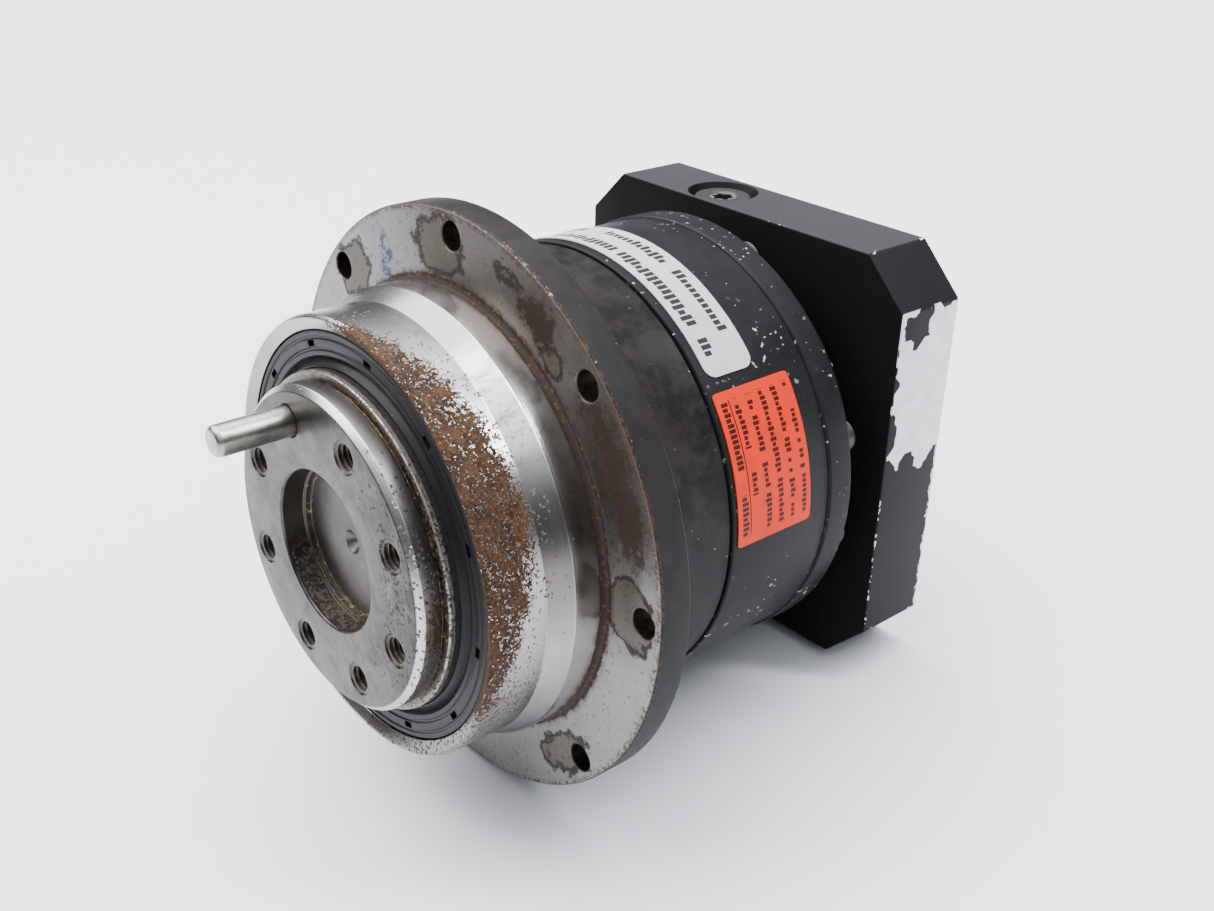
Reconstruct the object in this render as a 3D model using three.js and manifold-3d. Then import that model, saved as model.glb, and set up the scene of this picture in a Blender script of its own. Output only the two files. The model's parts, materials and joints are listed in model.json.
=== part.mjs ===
// Two-stage planetary gearbox with a flange output, ratio 35.
// The gear axis lies along Y, the output flange faces -Y and the motor side faces +Y.
// Lengths are millimetres. A station is a distance along the axis from the output face.
import * as THREE from "three";
import { mergeVertices } from "three/addons/utils/BufferGeometryUtils.js";
import Module from "manifold-3d";

// ---- driving dimensions -------------------------------------------------
const PIN_PROUD = 15;
const PLATE_BACK = 121;
const FIT = 0.1; // radial gap between parts that sit in each other
const RUN = 0.2; // radial gap between parts that turn in each other
const SEAM = 0.3; // axial gap between housings bolted face to face
const GAP = 0.2; // axial gap between a part and the shoulder that it sits against
const EDGE = 0.4; // broken edge of a turned or drilled part
const CLEAR = 1; // how far a cutting tool runs past the face that it opens

const SMOOTH = 36; // sides of the large round parts and of what fits round a shaft
const HIDDEN = 18; // sides of round parts with room to spare, half of SMOOTH so that corners line up
const SMALL = 10; // sides of pins, screws and small holes
const HEX = 6;

const SPIGOT_R = 31.5;
const SPIGOT_CHAMFER = 1.2;
const SPIGOT_BACK = 4.6;
const RECESS_R = 15.75;
const RECESS_DEPTH = 6;
const CENTRE_CONE_R = 2.4;
const CENTRE_CONE_DEPTH = 3;
const OUTPUT_PCD_R = 25;
const OUTPUT_HOLE_R = 2.6;
const OUTPUT_HOLE_DEPTH = 14;
const OUTPUT_COUNTERSINK = 0.8;
const OUTPUT_FIRST_ANGLE = -22.5;
const DOWEL_R = 3;
const DOWEL_DEPTH = 9;
const DOWEL_CHAMFER = 0.7;
const SEAL_RUN_R = 33;
const SEAL_RUN_FRONT = 5.3;
const SEAL_BORE_R = 40;
const SEAL_FRONT = 7.9;
const SEAL_BACK = 15.9;
const STUB_R = 17;
const STUB_BACK = 56;

const NOSE_FRONT = 6.6;
const NOSE_R = 43;
const NOSE_BACK = 18.3;
const CENTRING_R = 45;
const CENTRING_FRONT = 23;
const RELIEF_FRONT = 28.9;
const RELIEF_DEPTH = 0.5;
const FLANGE_FACE = 30;
const FLANGE_BACK = 37;
const FLANGE_R = 59;
const FLANGE_PCD_R = 54.5;
const FLANGE_HOLE_R = 2.75;
const BEARING_LIP_R = 33;
const SEAL_POCKET_BACK = 31;
const FRONT_BODY_R = 46;
const FRONT_BODY_BACK = 59.5;
const RING_R = 46.5;
const RING_FRONT = FRONT_BODY_BACK + SEAM;
const RING_BACK = 85.9;
const RING_SPIGOT_R = 38.9;
const RING_SPIGOT_FRONT = 56.3;
const RING_SPIGOT_BACK = 89;
const RING_BORE_R = 36;
const REAR_R = 47;
const REAR_FRONT = RING_BACK + SEAM;
const REAR_BACK = 92.8;
const NECK_R = 37.5;
const NECK_BACK = 103;
const PLATE_SPIGOT_R = 30;
const PLATE_SPIGOT = 2;
const CHAMBER_FRONT = 86.8;
const PLATE_FRONT = NECK_BACK + SEAM;
const PLATE_HALF = 46.5;
const PLATE_CORNER = 10;
const PLATE_BORE_R = 24;
const PILOT_R = 40;
const PILOT_FRONT = 116;
const MOTOR_BOLT_R = 50;
const MOTOR_HOLE_R = 2.6;
const MOTOR_HOLE_DEPTH = 14;

const CASE_SCREW_RING = 41.5;
const CASE_SCREW_R = 2;
const CASE_SCREW_LENGTH = 45;
const CASE_SCREW_ANGLES = [15, 75, 105, 165, 195, 255, 285, 345];
const PLATE_SCREW_RING = 34;
const PLATE_SCREW_R = 2.5;
const PLATE_SCREW_LENGTH = 16;
const PLATE_SCREW_SEAT = 110.5;
const PLATE_SCREW_TIP = 93.5;
const PLATE_SCREW_SINK_R = 4.6;
const LOOSE = 0.25; // radial gap of a screw in a plain hole

const MODULE = 1;
const PRESSURE_ANGLE = THREE.MathUtils.degToRad(25);
const ADDENDUM = 0.9;
const DEDENDUM = 1.15;
const THINNING = 0.16; // taken off each tooth's thickness, for backlash
const RING_TEETH = 72;
const OUTPUT_STAGE = { sun: 18, planet: 27, orbit: 22.5, front: 57, back: 69 };
const INPUT_STAGE = { sun: 12, planet: 30, orbit: 21, front: 77.7, back: 85.5 };
const PLANET_ANGLES = [0, 120, 240];
const PLANET_PIN_R = 3;
const PLANET_BORE_R = 4.8;

const SHAFT_BORE_R = 8;
const SHAFT_BORE_FRONT = 92;
const SUN_SEAT_R = 4.8;
const SHAFT_FRONT = 85.9;
const HUB_R = 18.5;
const HUB_FRONT = 103.7;
const HUB_BACK = 115.9;
const HUB_SLIT_FRONT = 106;
const CLAMP_SCREW_R = 2.5;
const CLAMP_HEAD_R = 4.25;
const CLAMP_HEAD = 5;
const CLAMP_SEAT = 8;
const CLAMP_TIP = -10.5;
const ACCESS_X = -12.2;
const ACCESS_Y = 111.6;
const ACCESS_FLOOR = 10;
const ACCESS_COUNTERSINK = 1.4;
const PLUG_R = 6.3;
const PLUG_TOP = PLATE_HALF - 0.9;
const PLUG_LENGTH = 9;
const SNAP_FRONT = 86.6;
const SNAP_BACK = 87.3;

// ---- solids ---------------------------------------------------------------
const wasm = await Module();
wasm.setup();

function signedVolume(position, index) {
  let volume = 0;
  for (let i = 0; i < index.length; i += 3) {
    const [a, b, c] = [index[i], index[i + 1], index[i + 2]].map((v) =>
      new THREE.Vector3(position[3 * v], position[3 * v + 1], position[3 * v + 2]),
    );
    volume += a.dot(b.cross(c));
  }
  return volume;
}

// A closed geometry as a solid, with its faces turned outwards.
function solid(geometry) {
  geometry.deleteAttribute("normal");
  geometry.deleteAttribute("uv");
  const merged = mergeVertices(geometry, 1e-4);
  const vertices = merged.attributes.position.array;
  const source = merged.index.array;
  const triangles = [];
  for (let i = 0; i < source.length; i += 3) {
    const [a, b, c] = [source[i], source[i + 1], source[i + 2]];
    if (a !== b && b !== c && c !== a) triangles.push(a, b, c);
  }
  if (signedVolume(vertices, triangles) < 0) triangles.reverse();
  const mesh = new wasm.Mesh({
    numProp: 3,
    vertProperties: Float32Array.from(vertices),
    triVerts: Uint32Array.from(triangles),
  });
  return new wasm.Manifold(mesh);
}

// A turned part from its closed outline of [radius, station] points.
function turned(outline, sides = SMOOTH) {
  const points = outline.map(([r, s]) => new THREE.Vector2(r, s));
  points.push(points[0].clone());
  return solid(new THREE.LatheGeometry(points, sides));
}

function rod(radius, front, back, sides = SMALL) {
  return turned([[0, front], [radius, front], [radius, back], [0, back]], sides);
}

function tube(inner, outer, front, back, sides = SMOOTH) {
  return turned([[inner, front], [outer, front], [outer, back], [inner, back]], sides);
}

// A flat outline in the plane across the axis, pushed from station front to station back.
function prism(shape, front, back, curveSegments = SMALL) {
  const options = { depth: back - front, bevelEnabled: false, curveSegments };
  const geometry = new THREE.ExtrudeGeometry(shape, options);
  geometry.rotateX(Math.PI / 2);
  geometry.translate(0, back, 0);
  return solid(geometry);
}

function block(x0, x1, y0, y1, z0, z1) {
  const geometry = new THREE.BoxGeometry(x1 - x0, y1 - y0, z1 - z0);
  geometry.translate((x0 + x1) / 2, (y0 + y1) / 2, (z0 + z1) / 2);
  return solid(geometry);
}

// A turned part that stands on end: its outline is [radius, height] and its axis runs along Z.
function upright(outline, x, y, sides = SMALL) {
  return turned(outline, sides).rotate([90, 0, 0]).translate([x, y, 0]);
}

// Angles run from the top towards +X, seen from the output side.
function onCircle(radius, degrees) {
  const angle = THREE.MathUtils.degToRad(degrees);
  return [radius * Math.sin(angle), radius * Math.cos(angle)];
}

function copies(piece, radius, angles) {
  return angles.map((degrees) => {
    const [x, z] = onCircle(radius, degrees);
    return piece.translate([x, 0, z]);
  });
}

function cut(body, tools) {
  return tools.reduce((rest, tool) => rest.subtract(tool), body);
}

function every(step, first = 0) {
  return Array.from({ length: 360 / step }, (_, k) => first + k * step);
}

// ---- gear teeth -------------------------------------------------------------
const involute = (angle) => Math.tan(angle) - angle;

// Half the angle that a tooth takes up at a radius, for an external gear.
function halfTooth(teeth, radius, thinning) {
  const pitchR = (MODULE * teeth) / 2;
  const baseR = pitchR * Math.cos(PRESSURE_ANGLE);
  const local = Math.acos(Math.min(1, baseR / Math.max(radius, baseR)));
  const atPitch = ((Math.PI * MODULE) / 2 - thinning) / (2 * pitchR);
  return atPitch + involute(PRESSURE_ANGLE) - involute(local);
}

// An outline with a tooth, or on a ring gear a space, centred at firstAngle.
function toothedOutline(teeth, tipR, rootR, thinning, firstAngle, target) {
  const atTip = halfTooth(teeth, tipR, thinning);
  const atRoot = halfTooth(teeth, rootR, thinning);
  for (let k = 0; k < teeth; k += 1) {
    const middle = THREE.MathUtils.degToRad(firstAngle) + (2 * Math.PI * k) / teeth;
    const flank = [[rootR, -atRoot], [tipR, -atTip], [tipR, atTip], [rootR, atRoot]];
    flank.forEach(([radius, offset], i) => {
      const [x, y] = [radius * Math.sin(middle + offset), radius * Math.cos(middle + offset)];
      if (k === 0 && i === 0) target.moveTo(x, y);
      else target.lineTo(x, y);
    });
  }
  target.closePath();
  return target;
}

function gear(teeth, front, back, boreR, firstAngle = 0) {
  const pitchR = (MODULE * teeth) / 2;
  const outline = new THREE.Shape();
  toothedOutline(teeth, pitchR + ADDENDUM, pitchR - DEDENDUM, THINNING, firstAngle, outline);
  const blank = prism(outline, front, back);
  return boreR ? blank.subtract(rod(boreR, front - CLEAR, back + CLEAR, 2 * SMALL)) : blank;
}

// ---- finishes ---------------------------------------------------------------
const FINISHES = {
  bright_steel: { color: 0xb9b6b1, roughness: 0.35, metalness: 1 },
  black_steel: { color: 0x3a3b3e, roughness: 0.55, metalness: 0.6 },
  ground_steel: { color: 0x9da0a3, roughness: 0.3, metalness: 1 },
  bearing_steel: { color: 0xc4c6c8, roughness: 0.2, metalness: 1 },
  screw_steel: { color: 0x2a2a2c, roughness: 0.5, metalness: 0.7 },
  black_aluminium: { color: 0x2b2b2e, roughness: 0.5, metalness: 0.4 },
  black_rubber: { color: 0x222224, roughness: 0.7, metalness: 0 },
  white_label: { color: 0xe9e9ea, roughness: 0.45, metalness: 0 },
  orange_label: { color: 0xf2694a, roughness: 0.45, metalness: 0 },
};

// Stations are measured from the output face; the origin is at the middle of the whole length.
const gearbox = new THREE.Group();
gearbox.position.y = -(PLATE_BACK - PIN_PROUD) / 2;

function add(name, body, finish, x = 0, z = 0, turn = 0) {
  const { vertProperties, triVerts } = body.getMesh();
  const geometry = new THREE.BufferGeometry();
  geometry.setAttribute("position", new THREE.BufferAttribute(vertProperties, 3));
  geometry.setIndex(new THREE.BufferAttribute(triVerts, 1));
  geometry.computeVertexNormals();
  const mesh = new THREE.Mesh(geometry, new THREE.MeshStandardMaterial(FINISHES[finish]));
  mesh.name = name;
  mesh.position.set(x, 0, z);
  mesh.rotation.y = THREE.MathUtils.degToRad(turn);
  gearbox.add(mesh);
}

// ---- output side ------------------------------------------------------------
const FRONT_BEARING = { boreR: 27.5, outerR: 40, front: 17.5, width: 13, ballR: 3.6, balls: 10 };
const REAR_BEARING = { boreR: 25, outerR: 36, front: 33.5, width: 12, ballR: 3.2, balls: 10 };
const INPUT_BEARING = { boreR: 15, outerR: 23.5, front: 88, width: 9, ballR: 2.5, balls: 8 };
const NUT_R = 24.4;
const NUT_FRONT = 45.8;
const NUT_BACK = 50;
const NUT_OUTER_R = 31;
const CARRIER_FRONT = 50.8;

function outputFlange() {
  const wideSeatR = FRONT_BEARING.boreR - FIT;
  const narrowSeatR = REAR_BEARING.boreR - FIT;
  const body = turned([
    [0, RECESS_DEPTH + CENTRE_CONE_DEPTH], [CENTRE_CONE_R, RECESS_DEPTH],
    [RECESS_R - 0.6, RECESS_DEPTH], [RECESS_R, RECESS_DEPTH - SPIGOT_CHAMFER],
    [RECESS_R, EDGE], [RECESS_R + EDGE, 0],
    [SPIGOT_R - SPIGOT_CHAMFER, 0], [SPIGOT_R, SPIGOT_CHAMFER], [SPIGOT_R, SPIGOT_BACK],
    [SPIGOT_R - RELIEF_DEPTH, SPIGOT_BACK + GAP], [SPIGOT_R - RELIEF_DEPTH, SEAL_RUN_FRONT - GAP],
    [SEAL_RUN_R, SEAL_RUN_FRONT], [SEAL_RUN_R, FRONT_BEARING.front - 0.7],
    [FRONT_BEARING.boreR + 2.5, FRONT_BEARING.front - GAP], [wideSeatR, FRONT_BEARING.front - GAP],
    [wideSeatR, REAR_BEARING.front - GAP], [narrowSeatR, REAR_BEARING.front - GAP],
    [narrowSeatR, NUT_FRONT - GAP], [NUT_R, NUT_FRONT - GAP], [NUT_R, NUT_BACK + SEAM],
    [STUB_R, NUT_BACK + SEAM], [STUB_R, STUB_BACK], [0, STUB_BACK],
  ]);
  const threaded = turned([
    [0, -CLEAR], [OUTPUT_HOLE_R + OUTPUT_COUNTERSINK + CLEAR, -CLEAR],
    [OUTPUT_HOLE_R, OUTPUT_COUNTERSINK], [OUTPUT_HOLE_R, OUTPUT_HOLE_DEPTH],
    [0, OUTPUT_HOLE_DEPTH + OUTPUT_HOLE_R / 2],
  ], SMALL);
  const dowelled = rod(DOWEL_R + FIT, -CLEAR, DOWEL_DEPTH + SEAM);
  const angles = every(45, OUTPUT_FIRST_ANGLE);
  return cut(body, [
    ...copies(dowelled, OUTPUT_PCD_R, angles.slice(0, 1)),
    ...copies(threaded, OUTPUT_PCD_R, angles.slice(1)),
  ]);
}

function dowelPin() {
  return turned([
    [0, -PIN_PROUD], [DOWEL_R - DOWEL_CHAMFER, -PIN_PROUD], [DOWEL_R, -PIN_PROUD + DOWEL_CHAMFER],
    [DOWEL_R, DOWEL_DEPTH], [0, DOWEL_DEPTH],
  ], SMALL);
}

function outputHousing() {
  const seatR = SEAL_BORE_R + FIT;
  const rearSeatR = REAR_BEARING.outerR + FIT;
  const reliefR = CENTRING_R - RELIEF_DEPTH;
  const body = turned([
    [seatR, NOSE_FRONT + 1.1], [NOSE_R - 0.8, NOSE_FRONT], [NOSE_R, NOSE_FRONT + 0.8],
    [NOSE_R, NOSE_BACK], [CENTRING_R, CENTRING_FRONT], [CENTRING_R, RELIEF_FRONT - SEAM],
    [reliefR, RELIEF_FRONT], [reliefR, FLANGE_FACE - GAP - SEAM], [CENTRING_R, FLANGE_FACE - GAP],
    [CENTRING_R, FLANGE_FACE], [FLANGE_R - EDGE, FLANGE_FACE],
    [FLANGE_R, FLANGE_FACE + EDGE], [FLANGE_R, FLANGE_BACK - EDGE], [FLANGE_R - EDGE, FLANGE_BACK],
    [FRONT_BODY_R, FLANGE_BACK], [FRONT_BODY_R, FRONT_BODY_BACK],
    [RING_SPIGOT_R + FIT, FRONT_BODY_BACK], [RING_SPIGOT_R + FIT, RING_SPIGOT_FRONT - SEAM],
    [rearSeatR, RING_SPIGOT_FRONT - SEAM], [rearSeatR, REAR_BEARING.front - GAP],
    [BEARING_LIP_R, REAR_BEARING.front - GAP], [BEARING_LIP_R, SEAL_POCKET_BACK],
    [seatR, SEAL_POCKET_BACK],
  ]);
  const flangeHole = rod(FLANGE_HOLE_R, FLANGE_FACE - CLEAR, FLANGE_BACK + CLEAR);
  const screwTip = REAR_BACK - CASE_SCREW_LENGTH;
  const screwHole = rod(CASE_SCREW_R + FIT, screwTip - CLEAR, FRONT_BODY_BACK + CLEAR);
  return cut(body, [
    ...copies(flangeHole, FLANGE_PCD_R, every(45)),
    ...copies(screwHole, CASE_SCREW_RING, CASE_SCREW_ANGLES),
  ]);
}

// Radial shaft seal: a pressed ring with a lip that runs on the output shaft.
function outputSeal() {
  const outer = SEAL_BORE_R - FIT / 2;
  const lip = SEAL_RUN_R + RUN;
  const web = SEAL_RUN_R + 1.6;
  return turned([
    [outer, SEAL_FRONT], [web + 0.6, SEAL_FRONT], [web, SEAL_FRONT + 1], [lip, SEAL_FRONT - 0.6],
    [lip, SEAL_FRONT + 0.5], [web - GAP, SEAL_BACK], [outer, SEAL_BACK],
  ]);
}

// Deep-groove ball bearing: two rings, and the balls held in their cage.
function bearing(prefix, { boreR, outerR, front, width, ballR, balls }) {
  const pitchR = (boreR + outerR) / 2;
  const middle = front + width / 2;
  const back = front + width;
  const ring = (edgeR, towards) => {
    const shoulder = pitchR + towards * 0.55 * ballR;
    const groove = pitchR + towards * (ballR + 0.4);
    return turned([[edgeR, front], [edgeR, back], [shoulder, back], [groove, middle], [shoulder, front]]);
  };
  const [low, high] = [-0.3, 0.3].map((share) => share * ballR);
  const cage = tube(pitchR + low, pitchR + high, middle + low, middle + high, HIDDEN);
  const ball = solid(new THREE.SphereGeometry(ballR, 6, 4)).translate([0, middle, 0]);
  const set = copies(ball, pitchR, every(360 / balls)).reduce((all, one) => all.add(one), cage);
  add(`${prefix}_outer_ring`, ring(outerR, 1), "bearing_steel");
  add(`${prefix}_inner_ring`, ring(boreR, -1), "bearing_steel");
  add(`${prefix}_balls`, set, "bearing_steel");
}

function shaftNut() {
  const nut = tube(NUT_R + FIT, NUT_OUTER_R, NUT_FRONT, NUT_BACK);
  const slot = block(-2.5, 2.5, NUT_FRONT - CLEAR, NUT_BACK + CLEAR, NUT_OUTER_R - 2, NUT_OUTER_R + 2);
  return cut(nut, every(90).map((turn) => slot.rotate([0, turn, 0])));
}

// ---- planet stages ------------------------------------------------------------
const CARRIER_R = 33;
const CARRIER_BACK = OUTPUT_STAGE.back + 3.4;
const INPUT_CARRIER_R = 32;
const INPUT_CARRIER_FRONT = 73;
const INPUT_CARRIER_BACK = 77;
const SUN_SHANK_R = 7;
const PIN_FIT = 0.15;
const NEEDLE_END = 0.5;

function planetPinHoles(stage, front, back) {
  return copies(rod(PLANET_PIN_R + PIN_FIT, front, back), stage.orbit, PLANET_ANGLES);
}

function outputCarrier() {
  const { planet, orbit, front, back, sun } = OUTPUT_STAGE;
  const windowR = (MODULE * planet) / 2 + ADDENDUM + 0.6;
  const sunR = (MODULE * sun) / 2 + ADDENDUM + 0.8;
  const cage = rod(CARRIER_R, CARRIER_FRONT, CARRIER_BACK, SMOOTH);
  const window = rod(windowR, front - EDGE, back + EDGE, HIDDEN);
  return cut(cage, [
    rod(STUB_R + FIT, CARRIER_FRONT - CLEAR, STUB_BACK + EDGE, SMOOTH),
    rod(sunR, STUB_BACK, CARRIER_BACK + CLEAR, HIDDEN),
    ...copies(window, orbit, PLANET_ANGLES),
    ...planetPinHoles(OUTPUT_STAGE, CARRIER_FRONT + 1, CARRIER_BACK + CLEAR),
  ]);
}

function inputCarrier() {
  const plate = rod(INPUT_CARRIER_R, INPUT_CARRIER_FRONT, INPUT_CARRIER_BACK, SMOOTH);
  const sunSeat = rod(SUN_SHANK_R + FIT, INPUT_CARRIER_FRONT - CLEAR, INPUT_CARRIER_BACK + CLEAR);
  return cut(plate, [
    sunSeat,
    ...planetPinHoles(INPUT_STAGE, INPUT_CARRIER_FRONT + 0.8, INPUT_CARRIER_BACK + CLEAR),
  ]);
}

// The output stage's sun, with the shank that is pressed into the input stage's carrier.
function outputSun() {
  const { sun, front, back } = OUTPUT_STAGE;
  return gear(sun, front, back, 0).add(rod(SUN_SHANK_R, back - CLEAR, INPUT_CARRIER_BACK - GAP));
}

// The input stage's sun has a tooth space towards each planet, because its planets have an even
// number of teeth.
function inputSun() {
  const { sun, front, back } = INPUT_STAGE;
  const shank = rod(SUN_SEAT_R - FIT, back - CLEAR, SHAFT_BORE_FRONT - 0.5);
  return gear(sun, front, back, 0, 180 / sun).add(shank);
}

function planetStage(prefix, stage, pinFront, pinBack) {
  const { planet, front, back } = stage;
  const wheel = gear(planet, front, back, PLANET_BORE_R);
  const pin = rod(PLANET_PIN_R, pinFront, pinBack);
  const [low, high] = [PLANET_PIN_R + RUN, PLANET_BORE_R - RUN];
  const needles = tube(low, high, front + NEEDLE_END, back - NEEDLE_END, SMALL);
  PLANET_ANGLES.forEach((degrees, i) => {
    const [x, z] = onCircle(stage.orbit, degrees);
    add(`${prefix}_planet_${i + 1}`, wheel, "ground_steel", x, z, degrees);
    add(`${prefix}_planet_pin_${i + 1}`, pin, "bearing_steel", x, z);
    add(`${prefix}_needle_cage_${i + 1}`, needles, "bearing_steel", x, z);
  });
}

// ---- ring gear and input side ---------------------------------------------------
function ringGear() {
  const body = turned([
    [0, RING_SPIGOT_FRONT], [RING_SPIGOT_R, RING_SPIGOT_FRONT], [RING_SPIGOT_R, RING_FRONT],
    [RING_R - SEAM, RING_FRONT], [RING_R, RING_FRONT + SEAM], [RING_R, RING_BACK],
    [RING_SPIGOT_R, RING_BACK], [RING_SPIGOT_R, RING_SPIGOT_BACK], [0, RING_SPIGOT_BACK],
  ]);
  const pitchR = (MODULE * RING_TEETH) / 2;
  const spaces = new THREE.Shape();
  toothedOutline(RING_TEETH, pitchR + DEDENDUM, pitchR - ADDENDUM, -THINNING, 0, spaces);
  const screwHole = rod(CASE_SCREW_R + LOOSE, RING_FRONT - CLEAR, RING_BACK + CLEAR);
  return cut(body, [
    prism(spaces, RING_SPIGOT_FRONT - CLEAR, RING_SPIGOT_BACK + CLEAR),
    ...copies(screwHole, CASE_SCREW_RING, CASE_SCREW_ANGLES),
  ]);
}

function inputHousing() {
  const seatR = INPUT_BEARING.outerR + FIT;
  const spigotSeatR = RING_SPIGOT_R + FIT;
  const lipR = INPUT_BEARING.outerR - 1.7;
  const body = turned([
    [spigotSeatR, REAR_FRONT], [RING_R, REAR_FRONT], [REAR_R, REAR_FRONT + 0.8],
    [REAR_R, REAR_BACK - EDGE], [REAR_R - EDGE, REAR_BACK], [NECK_R, REAR_BACK], [NECK_R, NECK_BACK],
    [PLATE_SPIGOT_R, NECK_BACK], [PLATE_SPIGOT_R, NECK_BACK + PLATE_SPIGOT],
    [seatR, NECK_BACK + PLATE_SPIGOT], [seatR, INPUT_BEARING.front - GAP],
    [lipR, INPUT_BEARING.front - GAP], [lipR, CHAMBER_FRONT], [PLATE_SPIGOT_R, CHAMBER_FRONT],
    [PLATE_SPIGOT_R, RING_SPIGOT_BACK + SEAM], [spigotSeatR, RING_SPIGOT_BACK + SEAM],
  ]);
  const caseHole = rod(CASE_SCREW_R + LOOSE, REAR_FRONT - CLEAR, REAR_BACK + CLEAR);
  const plateHole = rod(PLATE_SCREW_R + FIT, PLATE_SCREW_TIP, NECK_BACK + CLEAR);
  return cut(body, [
    ...copies(caseHole, CASE_SCREW_RING, CASE_SCREW_ANGLES),
    ...copies(plateHole, PLATE_SCREW_RING, every(90, 45)),
  ]);
}

// Socket-head screw with its head's seat at a station and its tip towards the output.
function capScrew(radius, headR, headHeight, seat, length) {
  const top = seat + headHeight;
  const body = turned([
    [0, seat - length], [radius, seat - length], [radius, seat], [headR, seat], [headR, top], [0, top],
  ], SMALL);
  return body.subtract(rod(headR / 2, seat + headHeight * 0.4, top + CLEAR, HEX));
}

function adapterPlate() {
  const [h, c] = [PLATE_HALF, PLATE_HALF - PLATE_CORNER];
  const corners = [[-c, -h], [c, -h], [h, -c], [h, c], [c, h], [-c, h], [-h, c], [-h, -c]];
  const outline = new THREE.Shape(corners.map(([x, y]) => new THREE.Vector2(x, y)));
  const accessR = PLUG_R + FIT;
  const mouthR = PLUG_R + ACCESS_COUNTERSINK + FIT;
  const access = upright([
    [0, ACCESS_FLOOR], [accessR, ACCESS_FLOOR], [accessR, h - ACCESS_COUNTERSINK],
    [mouthR, h], [mouthR, h + CLEAR], [0, h + CLEAR],
  ], ACCESS_X, ACCESS_Y, HIDDEN);
  const screwR = PLATE_SCREW_R + LOOSE;
  const screwSeat = turned([
    [0, PLATE_FRONT - CLEAR], [screwR, PLATE_FRONT - CLEAR], [screwR, PLATE_SCREW_SEAT],
    [PLATE_SCREW_SINK_R, PLATE_SCREW_SEAT], [PLATE_SCREW_SINK_R, PILOT_FRONT + CLEAR],
    [0, PILOT_FRONT + CLEAR],
  ], SMALL);
  const motorHole = rod(MOTOR_HOLE_R, PLATE_BACK - MOTOR_HOLE_DEPTH, PLATE_BACK + CLEAR);
  const spigotEnd = NECK_BACK + PLATE_SPIGOT + SEAM;
  return cut(prism(outline, PLATE_FRONT, PLATE_BACK), [
    rod(PLATE_BORE_R, PLATE_FRONT - CLEAR, PLATE_BACK + CLEAR, SMOOTH),
    rod(PLATE_SPIGOT_R + FIT, PLATE_FRONT - CLEAR, spigotEnd, SMOOTH),
    rod(PILOT_R, PILOT_FRONT, PLATE_BACK + CLEAR, SMOOTH),
    access,
    ...copies(screwSeat, PLATE_SCREW_RING, every(90, 45)),
    ...copies(motorHole, MOTOR_BOLT_R, every(90, 45)),
  ]);
}

// Input shaft with its slit clamping hub for the motor shaft.
function inputShaft() {
  const seatR = INPUT_BEARING.boreR - FIT;
  const body = turned([
    [SUN_SEAT_R, SHAFT_FRONT], [seatR, SHAFT_FRONT], [seatR, HUB_FRONT - GAP], [HUB_R, HUB_FRONT],
    [HUB_R, HUB_BACK - EDGE], [HUB_R - EDGE, HUB_BACK], [SHAFT_BORE_R + EDGE, HUB_BACK],
    [SHAFT_BORE_R, HUB_BACK - EDGE], [SHAFT_BORE_R, SHAFT_BORE_FRONT], [SUN_SEAT_R, SHAFT_BORE_FRONT],
  ]);
  const slit = block(-HUB_R - CLEAR, -SHAFT_BORE_R / 2, HUB_SLIT_FRONT, HUB_BACK + CLEAR, -1, 1);
  const groove = tube(seatR - 1, seatR + CLEAR, SNAP_FRONT - FIT, SNAP_BACK + FIT);
  const screwHole = upright([
    [0, -HUB_R], [CLAMP_SCREW_R + LOOSE, -HUB_R], [CLAMP_SCREW_R + LOOSE, CLAMP_SEAT], [0, CLAMP_SEAT],
  ], ACCESS_X, ACCESS_Y);
  const spotFace = upright([
    [0, CLAMP_SEAT], [CLAMP_HEAD_R + LOOSE, CLAMP_SEAT], [CLAMP_HEAD_R + LOOSE, HUB_R], [0, HUB_R],
  ], ACCESS_X, ACCESS_Y);
  return cut(body, [slit, groove, screwHole, spotFace]);
}

function hexSocket(radius, floor, top) {
  return upright([[0, floor], [radius, floor], [radius, top], [0, top]], ACCESS_X, ACCESS_Y, HEX);
}

function clampScrew() {
  const seat = CLAMP_SEAT + FIT;
  const top = seat + CLAMP_HEAD;
  const body = upright([
    [0, CLAMP_TIP], [CLAMP_SCREW_R, CLAMP_TIP], [CLAMP_SCREW_R, seat], [CLAMP_HEAD_R, seat],
    [CLAMP_HEAD_R, top], [0, top],
  ], ACCESS_X, ACCESS_Y);
  return body.subtract(hexSocket(CLAMP_HEAD_R / 2, top - 3, top + CLEAR));
}

// Threaded plug that closes the access hole over the clamp screw.
function accessPlug() {
  const foot = PLUG_TOP - PLUG_LENGTH;
  const body = upright([
    [0, foot], [PLUG_R - EDGE, foot], [PLUG_R, foot + EDGE], [PLUG_R, PLUG_TOP], [0, PLUG_TOP],
  ], ACCESS_X, ACCESS_Y, HIDDEN);
  return body.subtract(hexSocket(2.6, PLUG_TOP - 4, PLUG_TOP + CLEAR));
}

function retainingRing() {
  const shaftR = INPUT_BEARING.boreR;
  const ring = tube(shaftR - 0.8, shaftR + 2.2, SNAP_FRONT, SNAP_BACK, HIDDEN);
  return ring.subtract(block(-2, 2, SNAP_FRONT - CLEAR, SNAP_BACK + CLEAR, shaftR - 5, shaftR + 5));
}

function inputSeal() {
  const front = INPUT_BEARING.front + INPUT_BEARING.width + 0.6;
  const back = NECK_BACK - GAP;
  const outer = INPUT_BEARING.outerR;
  const lip = INPUT_BEARING.boreR - FIT + RUN;
  return turned([[outer, front], [outer, back], [lip, back], [lip + 2, front]]);
}

const LABEL_THICKNESS = 0.25;
const RATING_LABEL = { front: 61.7, back: 73.7, fromAngle: -27, toAngle: 49.5 };
const NOTICE_LABEL = { front: 60.8, back: 80.6, fromAngle: 53, toAngle: 90 };

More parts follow.
